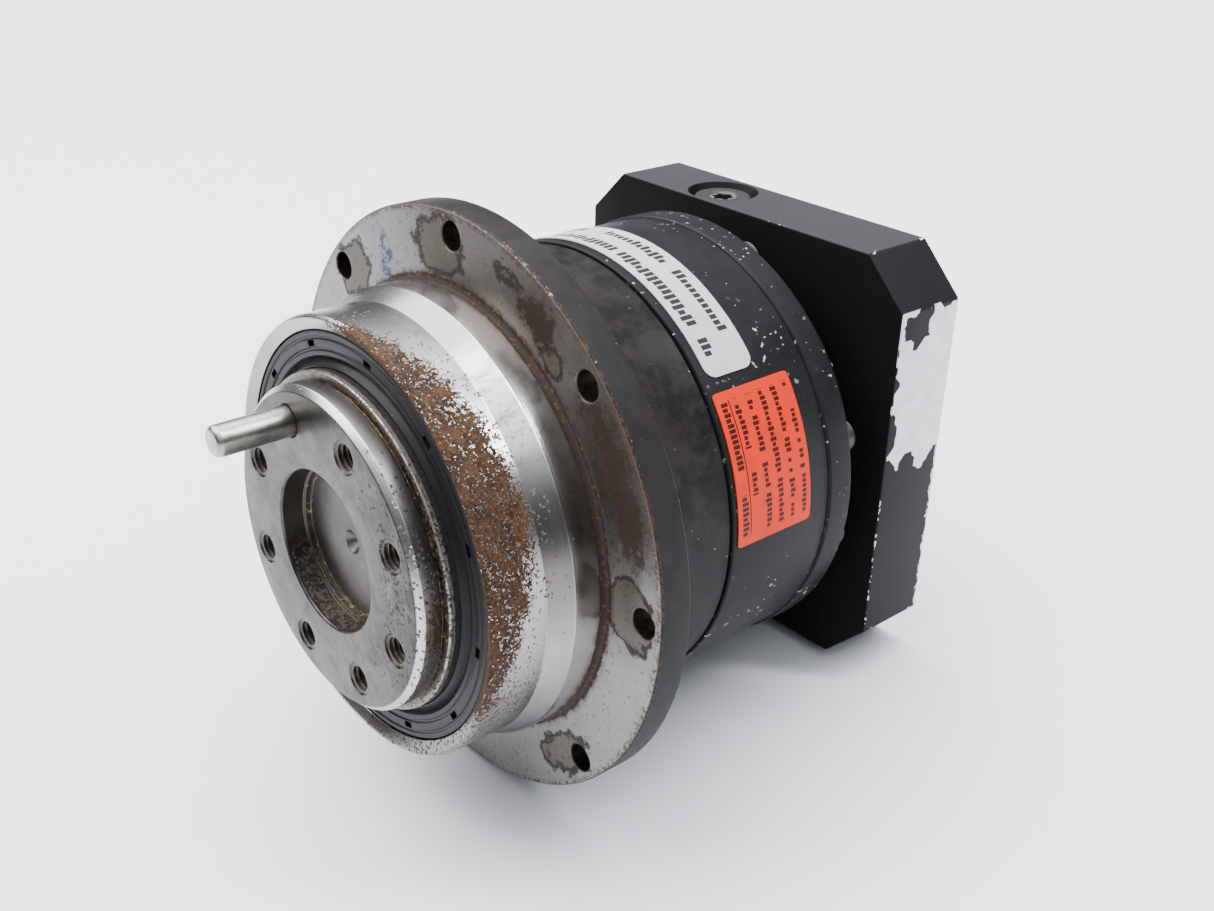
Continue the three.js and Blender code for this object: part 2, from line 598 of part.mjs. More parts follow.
// A label wrapped round the ring gear's body, between two stations and two angles.
function wrappedLabel({ front, back, fromAngle, toAngle }) {
  const steps = Math.round((toAngle - fromAngle) / 4);
  const arc = (radius) => Array.from({ length: steps + 1 }, (_, i) =>
    onCircle(radius, fromAngle + ((toAngle - fromAngle) * i) / steps),
  );
  const outline = [...arc(RING_R + FIT + LABEL_THICKNESS), ...arc(RING_R + FIT).reverse()];
  const shape = new THREE.Shape(outline.map(([x, y]) => new THREE.Vector2(x, y)));
  return prism(shape, front, back);
}

// ---- assembly -----------------------------------------------------------------
add("output_housing", outputHousing(), "black_steel");
add("output_flange", outputFlange(), "bright_steel");
const [dowelX, dowelZ] = onCircle(OUTPUT_PCD_R, OUTPUT_FIRST_ANGLE);
add("dowel_pin", dowelPin(), "ground_steel", dowelX, dowelZ);
add("output_seal", outputSeal(), "black_rubber");
bearing("front_output_bearing", FRONT_BEARING);
bearing("rear_output_bearing", REAR_BEARING);
add("shaft_nut", shaftNut(), "ground_steel");
add("output_carrier", outputCarrier(), "ground_steel");
planetStage("output", OUTPUT_STAGE, CARRIER_FRONT + 1 + GAP, CARRIER_BACK - GAP);
add("output_sun", outputSun(), "ground_steel");
add("input_carrier", inputCarrier(), "ground_steel");
planetStage("input", INPUT_STAGE, INPUT_CARRIER_FRONT + 1, INPUT_STAGE.back + NEEDLE_END);
add("input_sun", inputSun(), "ground_steel");
add("ring_gear", ringGear(), "black_steel");
add("input_housing", inputHousing(), "black_steel");
bearing("input_bearing", INPUT_BEARING);
add("input_seal", inputSeal(), "black_rubber");
add("retaining_ring", retainingRing(), "screw_steel");
add("input_shaft", inputShaft(), "ground_steel");
add("clamp_screw", clampScrew(), "screw_steel");
add("adapter_plate", adapterPlate(), "black_aluminium");
add("access_plug", accessPlug(), "screw_steel");
const caseScrew = capScrew(CASE_SCREW_R, 3.5, 4, REAR_BACK, CASE_SCREW_LENGTH);
CASE_SCREW_ANGLES.forEach((degrees, i) => {
  const [x, z] = onCircle(CASE_SCREW_RING, degrees);
  add(`case_screw_${i + 1}`, caseScrew, "screw_steel", x, z);
});
const plateScrew = capScrew(PLATE_SCREW_R, 4.25, 5, PLATE_SCREW_SEAT, PLATE_SCREW_LENGTH);
every(90, 45).forEach((degrees, i) => {
  const [x, z] = onCircle(PLATE_SCREW_RING, degrees);
  add(`plate_screw_${i + 1}`, plateScrew, "screw_steel", x, z);
});
add("rating_label", wrappedLabel(RATING_LABEL), "white_label");
add("notice_label", wrappedLabel(NOTICE_LABEL), "orange_label");

export default gearbox;
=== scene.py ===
"""Looks of the planetary gearbox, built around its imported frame. Outlines are in millimetres.

A station is a distance along the axis from the output face. Angles run from the top towards +X.
"""

import json
import math

import bmesh
import bpy
import numpy as np
from mathutils import Matrix, Vector

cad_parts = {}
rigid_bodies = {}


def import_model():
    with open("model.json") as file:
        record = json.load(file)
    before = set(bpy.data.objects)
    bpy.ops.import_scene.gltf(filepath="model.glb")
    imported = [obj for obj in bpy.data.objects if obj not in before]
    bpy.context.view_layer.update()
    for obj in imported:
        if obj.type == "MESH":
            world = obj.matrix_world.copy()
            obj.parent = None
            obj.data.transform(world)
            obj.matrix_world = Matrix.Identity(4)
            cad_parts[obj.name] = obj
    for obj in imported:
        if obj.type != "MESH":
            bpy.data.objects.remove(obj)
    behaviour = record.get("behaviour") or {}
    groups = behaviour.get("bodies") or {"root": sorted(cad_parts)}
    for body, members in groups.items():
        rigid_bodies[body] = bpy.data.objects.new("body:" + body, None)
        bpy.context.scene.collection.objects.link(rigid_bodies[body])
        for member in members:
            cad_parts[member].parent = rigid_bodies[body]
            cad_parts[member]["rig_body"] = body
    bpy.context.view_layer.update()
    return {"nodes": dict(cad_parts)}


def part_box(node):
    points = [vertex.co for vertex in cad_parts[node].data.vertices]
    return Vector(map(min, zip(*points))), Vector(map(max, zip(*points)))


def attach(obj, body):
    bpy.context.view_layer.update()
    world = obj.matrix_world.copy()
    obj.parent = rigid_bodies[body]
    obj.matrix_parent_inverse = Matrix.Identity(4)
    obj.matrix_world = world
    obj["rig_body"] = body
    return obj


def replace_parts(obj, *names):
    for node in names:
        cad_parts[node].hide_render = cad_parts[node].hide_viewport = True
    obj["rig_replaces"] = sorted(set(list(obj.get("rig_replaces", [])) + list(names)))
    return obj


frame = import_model()
MM = 0.001
FACE_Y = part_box("output_flange")[0].y

# ---- dimensions that several pieces share ----
FLANGE_FACE, FLANGE_BACK = 30, 37
RING_R, REAR_BACK = 46.5, 92.8
PLATE_FRONT, PLATE_BACK = 103.3, 121
PLATE_HALF, PLATE_CORNER = 46.5, 10
OUTPUT_HOLE_RING, FLANGE_HOLE_RING, CASE_SCREW_RING = 25, 54.5, 41.5
PLATE_SCREW_RING, PLATE_SCREW_SEAT, MOTOR_HOLE_RING = 34, 110.5, 50
ACCESS = (-12.2, 111.6)
EIGHTHS = [45 * k for k in range(8)]
DIAGONALS = [45 + 90 * k for k in range(4)]
CASE_SCREW_ANGLES = [15, 75, 105, 165, 195, 255, 285, 345]
OUTPUT_ANGLES = [-22.5 + 45 * k for k in range(8)]


# ---- meshes ----
def add_object(name, data):
    made = bpy.data.objects.new(name, data)
    bpy.context.scene.collection.objects.link(made)
    return made


def clean(mesh, step):
    """Takes one step on the mesh and turns its faces outwards."""
    work = bmesh.new()
    work.from_mesh(mesh)
    step(work)
    bmesh.ops.recalc_face_normals(work, faces=work.faces)
    work.to_mesh(mesh)
    work.free()


def add_mesh(name, vertices, faces):
    """A mesh object from points in millimetres as (x, station, z)."""
    points = np.asarray(vertices, float) * MM
    points[:, 1] += FACE_Y
    mesh = bpy.data.meshes.new(name)
    mesh.from_pydata(points.tolist(), [], faces)
    clean(mesh, lambda work: bmesh.ops.remove_doubles(work, verts=work.verts, dist=1e-7))
    return add_object(name, mesh)


def soften(outline, size, steps=3):
    """The closed outline with each corner rounded by up to size. Points on the axis stay."""
    points = [np.array(p, float) for p in outline]
    rounded = []
    for i, corner in enumerate(points):
        to_last = points[i - 1] - corner
        to_next = points[(i + 1) % len(points)] - corner
        reach = min(size, 0.4 * np.linalg.norm(to_last), 0.4 * np.linalg.norm(to_next))
        if corner[0] < 1e-6 or reach < 0.02:
            rounded.append(corner)
            continue
        start = corner + to_last / np.linalg.norm(to_last) * reach
        end = corner + to_next / np.linalg.norm(to_next) * reach
        for t in np.linspace(0, 1, steps + 1):
            rounded.append((1 - t) ** 2 * start + 2 * t * (1 - t) * corner + t * t * end)
    return rounded


def lathe(name, outline, sides, centre=(0, 0), upright=False, warp=None):
    """Turns a closed outline of (radius, station) about the axis, or (radius, height) about Z."""
    outline = np.array(outline, float)
    count = len(outline)
    angles = np.linspace(0, 2 * math.pi, sides, endpoint=False)
    radius = np.tile(outline[:, 0], (sides, 1))
    along = np.tile(outline[:, 1], (sides, 1))
    if warp:
        radius, along = warp(np.degrees(angles)[:, None], radius, along)
    across = radius * np.sin(angles)[:, None] + centre[0]
    other = radius * np.cos(angles)[:, None]
    if upright:
        points = np.stack([across, other + centre[1], along], -1)
    else:
        points = np.stack([across, along, other + centre[1]], -1)
    faces = []
    for i in range(sides):
        a, b = i * count, ((i + 1) % sides) * count
        for j in range(count):
            k = (j + 1) % count
            if outline[j][0] < 1e-6 and outline[k][0] < 1e-6:
                continue
            faces.append((a + j, b + j, b + k, a + k))
    made = add_mesh(name, points.reshape(-1, 3), faces)
    # the axis leaves collapsed quads
    clean(made.data, lambda work: bmesh.ops.dissolve_degenerate(work, edges=work.edges, dist=1e-8))
    return made


def turned(node, outline, size, *settings):
    """The fine version of a node, turned from an outline with its corners softened by size."""
    return lathe(node + "_fine", soften(outline, size), *settings)


def prism(name, outline, front, back, upright_at=None):
    """Pushes a flat outline along the axis, or along Z when it stands at (x, station)."""
    flat = [(float(p[0]), float(p[1])) for p in outline]
    n = len(flat)
    if upright_at:
        x0, s0 = upright_at
        rings = [[(x0 + a, s0 + b, h) for a, b in flat] for h in (front, back)]
    else:
        rings = [[(a, h, b) for a, b in flat] for h in (front, back)]
    faces = [tuple(range(n)), tuple(range(n, 2 * n))]
    faces += [(i, (i + 1) % n, n + (i + 1) % n, n + i) for i in range(n)]
    return add_mesh(name, rings[0] + rings[1], faces)


def block(low, high):
    corners = [(x, y, z) for x in (low[0], high[0]) for y in (low[1], high[1]) for z in (low[2], high[2])]
    faces = [(0, 1, 3, 2), (4, 5, 7, 6), (0, 1, 5, 4), (2, 3, 7, 6), (0, 2, 6, 4), (1, 3, 7, 5)]
    return add_mesh("block", corners, faces)


def apply_modifiers(piece):
    bpy.context.view_layer.update()
    graph = bpy.context.evaluated_depsgraph_get()
    mesh = bpy.data.meshes.new_from_object(piece.evaluated_get(graph))
    piece.modifiers.clear()
    piece.data = mesh


def join(pieces):
    """Merges the meshes of several objects into the first one."""
    work = bmesh.new()
    for piece in pieces:
        work.from_mesh(piece.data)
    work.to_mesh(pieces[0].data)
    work.free()
    for piece in pieces[1:]:
        bpy.data.objects.remove(piece)
    return pieces[0]


def cut(piece, tools):
    """Takes the tools, which don't touch each other, out of the piece."""
    tool = join(tools)
    step = piece.modifiers.new("cut", "BOOLEAN")
    step.operation = "DIFFERENCE"
    step.solver = "EXACT"
    step.object = tool
    apply_modifiers(piece)
    bpy.data.objects.remove(tool)


def on_circle(radius, degrees):
    return radius * math.sin(math.radians(degrees)), radius * math.cos(math.radians(degrees))


def around(radius, angles, make):
    """make(centre) for a place at each angle on a circle."""
    return [make(on_circle(radius, a)) for a in angles]


def hole(radius, front, back, chamfer, sides=48, through=False):
    """A maker of hole cutters with a small chamfer in front, and behind too for a through hole."""
    wide = radius + chamfer + 1
    outline = [(0, front - 1), (wide, front - 1), (radius, front + chamfer)]
    if through:
        outline += [(radius, back - chamfer), (wide, back + 1), (0, back + 1)]
    else:
        outline += [(radius, back), (0, back)]
    return lambda centre: lathe("hole", outline, sides, centre)


def threaded(crest, root, pitch, front, back, countersink):
    """A maker of threaded-hole cutters: a countersink, the thread's grooves and a drill point."""
    outline = [(0, front - 1), (root + countersink + 1, front - 1), (root, front + countersink)]
    station = front + countersink + 0.1
    while station < back:
        outline += [(crest, station), (crest, station + 0.15 * pitch), (root, station + 0.55 * pitch),
                    (root, station + 0.65 * pitch)]
        station += pitch
    outline += [(crest, station), (crest, back + pitch), (0, back + pitch + crest / 2)]
    return lambda centre: lathe("thread", outline, 48, centre)


def finish_piece(piece, node, shader, smooth=32):
    """Shades a finished mesh, ties it to its body and hides the CAD node that it stands for."""
    body = frame["nodes"][node]["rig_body"]
    for polygon in piece.data.polygons:
        polygon.use_smooth = True
    piece.data.set_sharp_from_angle(angle=math.radians(smooth))
    piece.data.materials.clear()
    piece.data.materials.append(shader)
    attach(piece, body)
    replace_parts(piece, node)


# ---- node helpers ----
class Value:
    """A number or vector inside a material, to be written as ordinary sums."""

    def __init__(self, tree, socket):
        self.tree, self.socket = tree, socket

    def calc(self, operation, *others, clamp=False):
        terms = dict(enumerate((self, *others)))
        node = add_node(self.tree, "Math", terms, operation=operation, use_clamp=clamp)
        return Value(self.tree, node.outputs[0])

    def __add__(self, other):
        return self.calc("ADD", other)

    def __sub__(self, other):
        return self.calc("SUBTRACT", other)

    def __mul__(self, other):
        return self.calc("MULTIPLY", other)

    __radd__, __rmul__ = __add__, __mul__

    def __abs__(self):
        return self.calc("ABSOLUTE")

    def __rsub__(self, other):
        return (self * -1.0) + other

    def above(self, low, high):
        """Rises from 0 at low to 1 at high. With low over high it falls instead."""
        terms = {"Value": self, "From Min": low, "From Max": high}
        node = add_node(self.tree, "MapRange", terms, interpolation_type="SMOOTHSTEP")
        return Value(self.tree, node.outputs["Result"])

    def within(self, low, high, soft=0.2):
        return self.above(low - soft, low + soft) * self.above(high + soft, high - soft)


def connect(tree, node, inputs):
    """Links a node's inputs to values or sockets, or sets them to plain numbers."""
    for key, item in inputs.items():
        if isinstance(item, Value):
            item = item.socket
        if isinstance(item, bpy.types.NodeSocket):
            tree.links.new(item, node.inputs[key])
        else:
            node.inputs[key].default_value = item


def add_node(tree, kind, inputs, **settings):
    node = tree.nodes.new("ShaderNode" + kind)
    for key, setting in settings.items():
        setattr(node, key, setting)
    connect(tree, node, inputs)
    return node


def clamp01(value):
    return value.calc("ADD", 0.0, clamp=True)


def blend(share, first, second):
    """first where share is 0 and second where it is 1, for plain numbers."""
    return first * (1.0 - share) + second * share


def distance(first, second):
    """The length of the flat vector that has these two parts."""
    return (first * first + second * second).calc("SQRT")


class Paint:
    """One material whose patterns sit in the part's own frame, in millimetres."""

    def __init__(self, name):
        self.material = bpy.data.materials.new(name)
        self.material.use_nodes = True
        self.tree = self.material.node_tree
        place = self.add("TexCoord", {}).outputs["Object"]
        terms = {0: place, 1: (1 / MM,) * 3, 2: (0, -FACE_Y / MM, 0)}
        self.place = self.add("VectorMath", terms, operation="MULTIPLY_ADD").outputs[0]
        self.x, self.station, self.z = self.split(self.place)
        self.radius = distance(self.x, self.z)
        self.angle = self.x.calc("ARCTAN2", self.z) * (180 / math.pi)

    def add(self, kind, inputs, **settings):
        return add_node(self.tree, kind, inputs, **settings)

    def split(self, vector):
        """The three numbers of a vector or a colour."""
        node = self.add("SeparateXYZ", {0: vector})
        return [Value(self.tree, output) for output in node.outputs]

    def vector(self, *parts):
        return self.add("CombineXYZ", dict(enumerate(parts))).outputs[0]

    def noise(self, scale, detail=4.0, rough=0.55, place=None, shift=0.0):
        terms = {"Vector": place or self.place, "W": shift, "Scale": scale, "Detail": detail,
                 "Roughness": rough}
        return Value(self.tree, self.add("TexNoise", terms, noise_dimensions="4D").outputs["Fac"])

    def streaks(self, across, along, detail, rough):
        """Noise drawn out round the axis, as a lathe leaves it."""
        place = self.vector(self.radius * across, self.station * across, self.angle * along)
        return self.noise(1.0, detail, rough, place)

    def specks(self, scale, size, share, shift=0.0):
        """Round spots, one in each cell that wins a draw: share of the cells, size of the cell's width."""
        terms = {0: self.place, 1: (shift, 2 * shift, -shift)}
        shifted = self.add("VectorMath", terms, operation="ADD").outputs[0]
        cells = self.add("TexVoronoi", {"Vector": shifted, "Scale": scale})
        draw, second = self.split(cells.outputs["Color"])[:2]
        reach = second * size + 0.3 * size
        near = (reach - Value(self.tree, cells.outputs["Distance"])).above(0.0, 0.25 * size)
        return near * draw.above(1 - share, 1 - share + 0.02)

    def warped(self, scale, amount, shift=0.0):
        """The place pushed about by noise, for ragged edges."""
        terms = {"Vector": self.place, "W": shift, "Scale": scale, "Detail": 3.0}
        push = self.add("TexNoise", terms, noise_dimensions="4D").outputs["Color"]
        terms = {0: push, 1: (amount,) * 3, 2: self.place}
        return self.add("VectorMath", terms, operation="MULTIPLY_ADD").outputs[0]

    def flakes(self, share, scale, place):
        """Whole cells of a crazed pattern, as many of them as share says."""
        cells = self.add("TexVoronoi", {"Vector": place, "Scale": scale})
        return (share - self.split(cells.outputs["Color"])[0]).above(0.0, 0.02)

    def spots(self, rough, *places):
        """Over 0 inside uneven spots on a face square to the axis, about in millimetres."""
        field = None
        for degrees, radius, half_arc, half_width in places:
            arc = (self.angle - degrees) * (math.radians(1) * radius / half_arc)
            off = (self.radius - radius) * (1 / half_width)
            spot = (1.0 - distance(arc, off)) * min(half_arc, half_width) + rough
            field = field.calc("MAXIMUM", spot) if field else spot
        return field

    def mix(self, share, first, second):
        """Two tones or sockets in shares. A plain number is a grey."""
        tones = [(tone,) * 3 if isinstance(tone, float) else tone for tone in (first, second)]
        first, second = ((*tone, 1) if isinstance(tone, tuple) else tone for tone in tones)
        return self.add("Mix", {0: share, 6: first, 7: second}, data_type="RGBA").outputs[2]

    def layer(self, colour, *coats):
        """Lays coats of (share, colour) over a base colour."""
        for share, tone in coats:
            colour = self.mix(share, colour, tone)
        return colour

    def done(self, colour, roughness, metallic, height, depth, specular=0.5):
        """Feeds the shader. The height stands out by up to depth."""
        bump = self.add("Bump", {"Distance": depth * MM, "Height": height})
        connect(self.tree, self.tree.nodes["Principled BSDF"], {
            "Base Color": colour, "Roughness": roughness, "Metallic": metallic,
            "Normal": bump.outputs[0], "Specular IOR Level": specular})
        return self.material


RUST = (0.072, 0.031, 0.018)
RUST_DARK = (0.03, 0.014, 0.009)


def output_steel():
    """Bright turned steel of the output flange, with stains round its rim and in its recess."""
    p = Paint("output_steel")
    rings = p.streaks(9, 0.01, 3, 0.7)
    broad = p.noise(0.055, 3)
    cloud = p.noise(0.19, 5, 0.6, shift=3)
    grain = p.noise(1.7, 5, 0.7)
    mid = p.noise(0.6, 5, 0.65, shift=5)
    side = p.radius.above(30.9, 31.3)
    edge = p.station.within(0.1, 1.25, 0.12) * p.radius.above(30.2, 30.6)
    neck = p.station.within(4.6, 7.4, 0.15) * p.radius.above(30.6, 31)
    recess = p.radius.above(15.95, 15.7) * p.station.above(0.4, 1)
    # painted shade: the side of the recess is darkened
    wall = recess * p.radius.above(15, 15.25)
    outside = 1 - recess
    lit = p.angle.within(-20, 150, 25)
    # stains, and a painted shadow under the seal lip
    blot = (cloud + grain * 0.35).above(0.66, 0.84)
    right_stain = p.angle.within(45, 125, 35) * (cloud + mid * 0.4).above(0.4, 0.85) * outside
    inside_rim = p.station.above(0.4, 4.6)
    crust = (1 - inside_rim * 0.55) * (p.angle.within(68, 108, 14) + edge * lit * 0.3)
    side_rust = side * p.flakes(crust * (mid * 1.6 - 0.55), 2.4, p.warped(1.2, 0.9))
    neck_rust = neck * lit * p.flakes(mid * 1.5 - 0.36, 2.2, p.warped(1.8, 0.7, 2))
    gilded = neck * lit * p.flakes(mid * 1.2 - 0.42, 2.8, p.warped(1.8, 0.7, 4))
    freckles = p.flakes(p.angle.within(42, 128, 22) * (mid * 0.9 - 0.32), 2, p.warped(2, 0.5))
    freckles = freckles * outside * p.radius.above(17, 24)
    sparse = p.specks(0.75, 0.16, 0.1) * outside
    wobble = p.noise(0.5, 4, 0.6, shift=8)
    scar = abs(p.radius - 13.6 - wobble * 2.2).above(0.26, 0.04)
    scar = scar * recess * mid.above(0.36, 0.46)
    corner = recess * p.radius.above(11.5, 15.4) * abs(p.angle).above(95, 135)
    silt = p.flakes(corner * (mid * 1.6 - 0.35), 2.2, p.warped(1.4, 0.8, 6))
    tarnish = recess * (cloud + mid * 0.5).above(0.55, 0.95)
    mouth = p.specks(2.2, 0.25, 0.12, 4) * p.radius.within(27.5, 33.5, 1)
    crest = p.radius.above(32.6, 32.85)
    clouds = outside * (p.noise(0.15, 6, 0.75, shift=21) + grain * 0.25).above(0.58, 0.7)
    junction = neck * p.radius.above(32.3, 32)
    smear = side * (1 - edge) * p.angle.within(84, 104, 7)
    smear = smear * (mid + p.station * 0.03).above(0.42, 0.58)
    # painted shadow under the seal lip, which is also made dull and less metallic
    shade = p.station.above(6, 6.4) * p.radius.above(32.6, 32.9)
    across, along = p.x * 0.89 + p.z * 0.45, p.z * 0.89 - p.x * 0.45
    scratches = p.noise(1, 3, 0.8, p.vector(across * 0.9, along * 0.15, p.station), shift=9)
    scratches = scratches.above(0.52, 0.59) * outside * (p.angle.within(35, 130, 30) * 0.8 + 0.2)
    colour = p.layer(
        p.mix(broad.above(0.35, 0.68), (0.049, 0.046, 0.043), (0.086, 0.082, 0.077)),
        # painted light: the output face is lighter towards the bottom
        (p.z.above(-8, -24) * 0.6, (0.107, 0.102, 0.096)), (clouds * 0.65, (0.027, 0.0255, 0.024)),
        (right_stain * 0.6, (0.048, 0.041, 0.036)), (blot * 0.45, (0.13, 0.12, 0.1)),
        (scratches * 0.8, (0.014, 0.015, 0.014)),
        (side * (1 - edge) * 0.7, (0.19, 0.185, 0.175)),
        # the recess floor tone, then painted shade darkening the side of the recess
        (recess * 0.75, (0.125, 0.12, 0.112)), (wall * 0.8, (0.07, 0.064, 0.056)),
        (tarnish * 0.45, (0.085, 0.074, 0.06)), (silt * 0.5, (0.1, 0.07, 0.042)),
        (scar * 0.8, (0.55, 0.45, 0.27)), (smear * 0.65, (0.08, 0.043, 0.024)),
        (side_rust * 0.7, (0.085, 0.044, 0.026)), (edge * 0.6, (0.72, 0.71, 0.69)),
        (junction * 0.6, (0.04, 0.033, 0.028)), (neck * crest * 0.8, (0.34, 0.33, 0.31)),
        (neck_rust * (0.85 - crest * 0.25), (0.052, 0.027, 0.017)),
        # painted shadow under the seal lip
        (gilded * (0.8 - crest * 0.5), (0.26, 0.18, 0.08)), (shade * 0.95, (0.008, 0.007, 0.007)),
        (freckles * 0.9, (0.012, 0.008, 0.006)), (sparse * 0.6, RUST_DARK), (mouth * 0.4, RUST_DARK))
    dull = clamp01(side_rust + neck_rust * 0.9 + freckles + sparse + silt * 0.7 + shade)
    roughness = (rings * 0.16 + broad * 0.12 + 0.2) + dull * 0.3 + tarnish * 0.1 - edge * 0.08
    height = rings * 0.5 + grain * 0.4 - sparse * 1.5 - freckles * 1.2 + side_rust * 0.8 + neck_rust * 1.2
    return p.done(colour, roughness, 1 - dull * 0.75, height, 0.02, specular=0.3)


def thread_steel():
    """Dark oiled steel inside the threaded holes."""
    p = Paint("thread_steel")
    crest = p.noise(0.8, 4, 0.7)
    colour = p.layer((0.11, 0.095, 0.08), (crest.above(0.5, 0.75), (0.3, 0.26, 0.2)))
    return p.done(colour, crest * 0.3 + 0.3, 0.85, crest, 0.03)


def pin_steel():
    p = Paint("pin_steel")
    draw = p.noise(1, 4, 0.7, p.vector(p.x * 5, p.station * 0.25, p.z * 5))
    stain = p.noise(0.35, 5, 0.65, shift=2)
    collar = p.station.within(-1.4, 0.4, 0.4) * stain.above(0.42, 0.6)
    colour = p.layer(
        p.mix(stain.above(0.4, 0.7), (0.29, 0.28, 0.25), (0.44, 0.43, 0.4)),
        (collar * 0.75, (0.17, 0.13, 0.075)), (p.specks(1.6, 0.2, 0.05) * 0.6, RUST_DARK))
    return p.done(colour, draw * 0.2 + 0.2, 1, draw, 0.02)


def housing_steel():
    """The output housing: bare rusty nose, polished centring, stained flange face, blackened body."""
    p = Paint("housing_steel")
    # zones
    front = p.station.above(FLANGE_FACE + 0.25, FLANGE_FACE - 0.05)
    nose = p.station.above(18.55, 18.25) * p.radius.above(39, 40)
    cone = p.station.within(18.3, 23, 0.12)
    polished = p.station.within(23, 28.6, 0.12)
    groove = p.station.above(28.6, 29) * p.radius.above(46.4, 45.6) * front
    face = front * p.radius.above(45.2, 46) * p.station.above(29, 29.8)
    black = 1 - front
    # patterns
    broad = p.noise(0.05, 3)
    cloud = p.noise(0.16, 6, 0.62, shift=3)
    grain = p.noise(1.5, 6, 0.75)
    coarse = p.noise(0.55, 5, 0.7, shift=6)
    ragged = p.warped(1.3, 1.1)
    fine_ragged = p.warped(2.4, 0.6, 3)
    turned = p.streaks(7, 0.008, 3, 0.65)
    rays = p.noise(1, 4, 0.7, p.vector(p.angle * 0.35, p.radius * 0.15, p.station * 0.15))
    # painted highlight: a bright streaky reflection across the nose, cone and polished band, from about 26
    # to 50 degrees
    painted_highlight = p.angle.within(26, 50, 9) * p.station.within(12, 27, 2.5) * rays.above(0.3, 0.55)
    # painted dark reflection: a darker streak on the cone and polished band, from about 66 to 90 degrees
    painted_dark_reflection = (cone + polished) * p.angle.within(66, 90, 9)
    # rust on the nose: dense near the lip, breaking up into flecks towards its far edge
    far_side = p.angle.within(-160, -95, 22)
    reach = p.angle.above(-10, 60) * p.angle.above(122, 62) * 9.5 + 7.6 + far_side * 3
    depth = reach + (cloud - 0.5) * 6 - p.station
    along = p.angle.above(-14, 4) * p.angle.above(124, 108) + far_side * 0.62
    thick = depth.above(-2.6, 2.4) * along
    clumps = p.noise(0.32, 4, 0.65, shift=17)
    share = thick * (0.8 + (clumps - 0.5) * 1.7 + (coarse - 0.5) * 0.8) - (1 - thick) * 0.08
    big_flakes = p.flakes(share, 2, ragged)
    small_flakes = p.flakes(share, 4.2, fine_ragged)
    nose_rust = nose * big_flakes.calc("MAXIMUM", small_flakes)
    glints = p.flakes(thick * 0.1 + (coarse - 0.6) * 0.9, 4.4, p.warped(2.6, 0.6, 7))
    nose_rust = nose_rust * (1 - glints * 0.85)
    dust = p.flakes(depth.above(-9, 0) * along * 0.13, 2.2, fine_ragged) * (nose + cone * 0.6)
    low_dust = p.flakes(p.angle.above(98, 122) * (coarse * 0.8 - 0.16), 2.4, fine_ragged) * nose
    strays = clamp01(p.specks(0.8, 0.18, 0.09, 2) * (cone + polished) * p.angle.above(-30, 10)
                     + dust + low_dust)
    # the root of the flange and its outer edge
    lit = p.angle.within(-35, 165, 12) * 0.45 + 0.55
    root = clamp01(groove + face * p.radius.above(47.4, 45.6) * coarse.above(0.4, 0.56))
    root_rust = root * lit
    beads = root * lit * p.flakes(coarse * 1.1 - 0.46, 1.9, ragged)
    lip = front * p.radius.above(57.4, 58.5) * (p.angle.within(-25, 160, 12) * 0.5 + 0.5)
    edge_rust = lip * p.flakes(coarse * 1.5 + cloud - 0.72, 1.9, p.warped(1.6, 1.2, 5))
    # stained islands with a dark broken outline, by the holes
    rim_noise = (p.noise(0.22, 6, 0.65, shift=11) - 0.5) * 9
    stain = p.spots(rim_noise, (-4, 52, 7.5, 5.5), (19, 54.5, 3.5, 1.5), (37, 49, 2.6, 2.4),
                    (90, 51, 6.5, 6), (139, 52.5, 7.5, 4.2), (-41, 52, 6.5, 5))
    stained = face * stain.above(-0.05, 0.1)
    ring = face * abs(stain).above(0.8, 0.25) * (grain * 0.6 + coarse * 0.4).above(0.37, 0.45)
    # rust on the face, and painted shade from its top round to the right
    patch = p.spots(rim_noise, (28.5, 52.5, 4.2, 2.8), (63, 53, 13, 3.6))
    patch_share = patch.above(-1.4, 0.8) * (coarse * 1.5 + 0.36)
    face_rust = p.flakes(patch_share, 1.1, ragged) * 0.7 + p.flakes(patch_share, 2.6, ragged) * 0.4
    face_rust = face * clamp01(face_rust)
    brown = face * patch.above(-5, 1) * cloud.above(0.3, 0.6)
    # painted shade: the flange face darker from its top round to the right
    painted_face_shade = p.angle.within(-12, 77, 15)
    olive = face * p.angle.within(-12, 100, 30) * cloud.above(0.34, 0.6)
    crumbs = face * p.flakes(coarse * 0.75 - 0.33, 2.2, fine_ragged)
    ink_field = p.spots((coarse - 0.5) * 5, (-27.5, 48.4, 1.9, 2.3), (-25, 52, 1.1, 3))
    ink = face * ink_field.above(-0.6, 0.3) * (grain * 0.5 + coarse * 0.5).above(0.47, 0.52)
